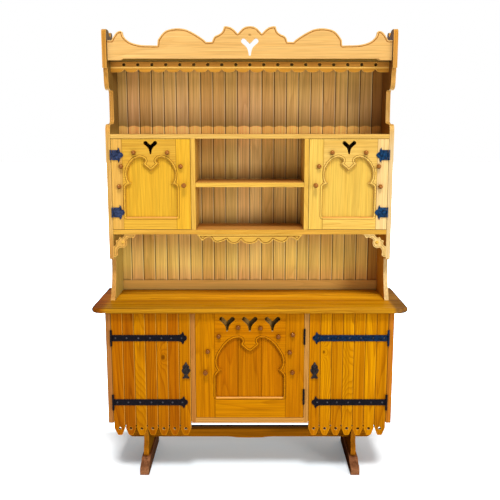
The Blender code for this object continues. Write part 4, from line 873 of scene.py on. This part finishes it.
# The roof's underside is painted dark as shade.
roof_pine = pine("roof_pine", *gold, grain="xyz", seed=15.5, light_and_shade_bands=[("z", [(1.895, 0.12), (1.91, 1.0)])])
finish(["hutch_roof"], roof_pine)
olive = ((0.68, 0.455, 0.152), (0.57, 0.342, 0.098), (0.30, 0.148, 0.036))
board_pitch = 0.0583
tone_of = {"o": (0.93, 0.93, 0.88), "g": (1.03, 1.01, 1.12), "p": (1.02, 0.94, 1.04), "t": (1.0, 0.97, 0.93),
           "y": (1.08, 1.07, 0.98), "b": (0.93, 0.85, 0.76), "d": (0.62, 0.47, 0.34)}
# The last board's dark tone, d, is painted shade at the back's right end.
board_order = [tone_of[letter] for letter in "opbttgtbbopgbtyotbyotd"]
# Each groove has a dark line with a painted highlight along one side.
groove_lines = (0.0021, 0.95, 0.6, (0.80, 0.62, 0.32))
# Painted light and shade up the back, on its front faces only: dark at the shelves and under the roof,
# brighter between them, and a bright band just above the plate shelf whose top edge is waved board by board
# like the scalloped valance's shadow.
back_light_bands = [
    (0.808, 0.62), (0.853, 0.80), (0.858, 1.42), (0.930, (1.53, 1.78, 1.52)), (1.00, (1.40, 1.62, 1.42)),
    (1.08, (1.33, 1.44, 1.4)), (1.116, 1.1), (1.140, 0.60), (1.175, (1.06, 1.12, 1.2)),
    (1.22, (1.42, 1.56, 1.7)), (1.30, (1.54, 1.72, 1.85)), (1.334, 1.70), (1.357, 0.50), (1.385, 0.82),
    (1.43, (1.20, 1.32, 1.45)),
    (1.50, (1.34, 1.46, 1.6)), (1.55, 1.55), (1.574, (2.06, 1.95, 1.70)), (1.602, (1.96, 1.86, 1.64)),
    (1.606, 0.72), (1.640, (0.92, 0.88, 1.02)), (1.70, (1.13, 1.08, 1.25)), (1.80, (1.18, 1.08, 1.0)),
    (1.84, (1.36, 1.24, 1.1)), (1.875, (1.15, 1.04, 0.9)), (1.885, 0.2), (1.90, 0.05),
]
back_pine = pine("back_pine", *olive, boards=(-board_pitch * 11, board_pitch), order=board_order,
                 lines=groove_lines, seed=16.0, rings=16, corner_shade=0.5, edge_wear_and_highlight=0.1,
                 light_and_shade_bands=[("z", back_light_bands, "y", -1)], shadow_ripple=(board_pitch, -0.006))
finish(["hutch_back"], back_pine)
low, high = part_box("hutch_back")
rail_front, rail_behind, rail_top = 0.168 - 0.0003, 0.171, 0.8552
rail = strip((low.x, rail_front, low.z), (high.x, rail_behind, rail_top),
             lambda spot: spot.z > 0.85 and spot.y < 0.17)
rail_tan = ((0.74, 0.43, 0.115), (0.60, 0.32, 0.070), (0.32, 0.145, 0.025))
# A painted shadow darkens the rail's foot, where it meets the worktop.
rail_shadow_heights = [(0.808, 0.45), (0.815, 0.9), (0.855, 1.0)]
rail_pine = pine("rail_pine", *rail_tan, grain="xzy", seed=25.0, light_and_shade_bands=[("z", rail_shadow_heights)])
place_piece("hutch_back_rail", rail, rail_pine, "carcass", False)

# Upper doors. Framed and pegged like the middle door but smaller, in yellow golden pine; the
# forked cut-out is open to the dark inside, and the panel is one wide board with fine lines.
yellow_left = ((0.72, 0.415, 0.036), (0.63, 0.322, 0.021), (0.40, 0.158, 0.008))
yellow_right = ((0.77, 0.510, 0.108), (0.69, 0.415, 0.066), (0.46, 0.225, 0.026))
members_left = ((0.96, 0.96, 2.4), (1.04, 1.04, 1.0), (0.90, 0.90, 1.3), (0.96, 0.97, 1.3))
members_right = ((1.0, 1.0, 1.0), (1.07, 1.14, 2.5), (0.94, 0.92, 1.1), (1.0, 0.97, 1.0))
outer_stile, inner_stile = 0.0495, 0.0637
peg_pine = peg_finish("peg_pine", 31.0, peg_brown)
for side, label, yellow, members in ((-1, "left", yellow_left, members_left),
                                     (1, "right", yellow_right, members_right)):
    node = "upper_door_%s_frame" % label
    low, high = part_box(node)
    stiles = (outer_stile, inner_stile) if side < 0 else (inner_stile, outer_stile)
    rails = (low.x + stiles[0], high.x - stiles[1])
    frame_pine = pine("upper_frame_pine_" + label, *yellow, frame_boards=rails, joint=1.22, members=members,
                      seed=17.0 + side, edge_wear_and_highlight=0.12)
    upper_cut = cut_tone("upper_cut_" + label, (0.34, 0.125, 0.012))
    pegged_door(node, "upper_door_" + label, [frame_pine, upper_cut, sill_highlight_pine, upper_cut],
                peg_pine)
    panel_pine = pine("upper_panel_pine_" + label, *yellow, seed=20.0 + side, rings=40, figured=0.15,
                      streaks=0.35, faces=[("y", -1, (0.93, 0.93, 0.88))])
    finish(["upper_door_%s_panel" % label], panel_pine)

# Crest board. One wide pale board between the sides, its top sawn into scrolls and lobes round a
# forked cut-out, with an incised line that follows the scrolls a little inside them.
pale_pine = ((0.73, 0.445, 0.160), (0.66, 0.372, 0.110), (0.49, 0.235, 0.052))
crest_pine = pine("crest_pine", *pale_pine, grain="xzy", seed=22.0, knots=((0.0, 2.002, 0.006, 0.10),))
crest_low, crest_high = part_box("crest_board")
end_x = crest_high.x - 0.0078
shoulder = crest_low.z + 0.040
inner_line = stretch_of(offset(front_outlines("crest_board")[0], -0.0072),
                        lambda point: point[1] > shoulder and abs(point[0]) < end_x)
for end, at in ((inner_line[0], 0), (inner_line[-1], len(inner_line) + 1)):
    inner_line.insert(at, (math.copysign(crest_high.x + 0.002, end[0]), end[1]))
crest_cut = cut_tone("crest_cut", (0.50, 0.200, 0.035))
chamfer_brown = ((0.36, 0.180, 0.045), (0.27, 0.120, 0.025), (0.16, 0.060, 0.012))
crest_chamfer = pine("crest_chamfer_pine", *chamfer_brown, grain="xzy", seed=22.5)
chamfer_ends = [(-0.556, 0.05), (-0.548, 1.0), (0.566, 1.0), (0.574, 0.05)]
cuts = bmesh.new()
incised(cuts, inner_line, front_of("crest_board"), 0.0046, 0.0020, False)
wedge(cuts, crest_low.y, crest_low.z, 0.007, 0.005, chamfer_ends)
crest_finishes = [crest_pine, crest_cut, crest_chamfer]
carved("crest_board", "crest_board_carved", "carcass", crest_finishes, cuts)

# Valance. A thin board with a scalloped lower edge, chamfered underneath, and a drilled hole
# above each cusp; it hangs behind the crest, under the roof.
valance_low, valance_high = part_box("valance")
# Painted light and shade: the valance's top is darker in the crest's shadow, and a bright lit strip is
# painted below it, down to the chamfer.
valance_light_bands = [(1.848, (1.60, 1.68, 2.2)), (1.8695, (1.68, 1.78, 2.6)), (1.8725, (1.08, 0.80, 0.74)),
                   (1.895, (1.0, 0.70, 0.64))]
valance_pine = pine("valance_pine", *gold, grain="xzy", seed=23.0, light_and_shade_bands=[("z", valance_light_bands)])
scallop_tan = ((0.75, 0.350, 0.042), (0.63, 0.260, 0.026), (0.32, 0.110, 0.010))
scallop_pine = pine("scallop_pine", *scallop_tan, grain="xzy", seed=23.5)
past_ends = [(valance_low.x - 0.002, 1.0), (valance_high.x + 0.002, 1.0)]
cuts = bmesh.new()
wedge(cuts, valance_low.y, valance_low.z, 0.0175, 0.0105, past_ends)
valance_finishes = [valance_pine, valance_pine, scallop_pine]
carved("valance", "valance_chamfered", "carcass", valance_finishes, cuts)

# Apron. A thin board with a scalloped lower edge under the niche, with an incised line that
# follows the scallops just inside them and closes straight across under the shelf.
apron_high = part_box("apron")[1]
apron_line = offset(front_outlines("apron")[0], -0.0055)
lowest = apron_line.index(min(apron_line, key=lambda point: point[1]))
apron_line = stretch_of(apron_line[lowest:] + apron_line[:lowest],
                        lambda point: point[1] < apron_high.z - 0.0075)
apron_pine = pine("apron_pine", *gold, grain="xzy", seed=26.0)
apron_cut = cut_tone("apron_cut", (0.26, 0.095, 0.010))
cuts = bmesh.new()
incised(cuts, apron_line, front_of("apron"), 0.0038, 0.0019, False)
carved("apron", "apron_carved", "carcass", [apron_pine, apron_cut], cuts)

# Corner brackets. Fret-sawn scrolls glued under the cupboards at both sides, each with a small
# turned boss in its eye; the left one is browner than the right.
boss_x, boss_z = 0.585, 1.081
boss_profile = [(0, -0.002), (0.0075, -0.002), (0.0075, 0.001), (0.0060, 0.0034), (0.0030, 0.0048),
                (0, 0.0052)]
for side, label, shade in ((-1, "left", (0.92, 0.85, 1.1)), (1, "right", (1.12, 1.25, 2.6))):
    node = "corner_bracket_" + label
    pale, mid, dark = tinted_tones(gold, shade)
    bracket_pine = pine("bracket_pine_" + label, pale, mid, dark, grain="zxy", seed=24.0 + side, corner_shade=0.8)
    bracket_cut = cut_tone("bracket_cut_" + label, tuple(c * 0.5 for c in dark))
    cuts = bmesh.new()
    incised(cuts, offset(front_outlines(node)[0], -0.0042), front_of(node), 0.0022, 0.0012)
    carved(node, "bracket_carved_" + label, "carcass", [bracket_pine, bracket_cut], cuts)
    boss = bmesh.new()
    turned(boss, (side * boss_x, front_of(node), boss_z), boss_profile, 16)
    place_piece("corner_boss_" + label, boss, apron_pine, "carcass")
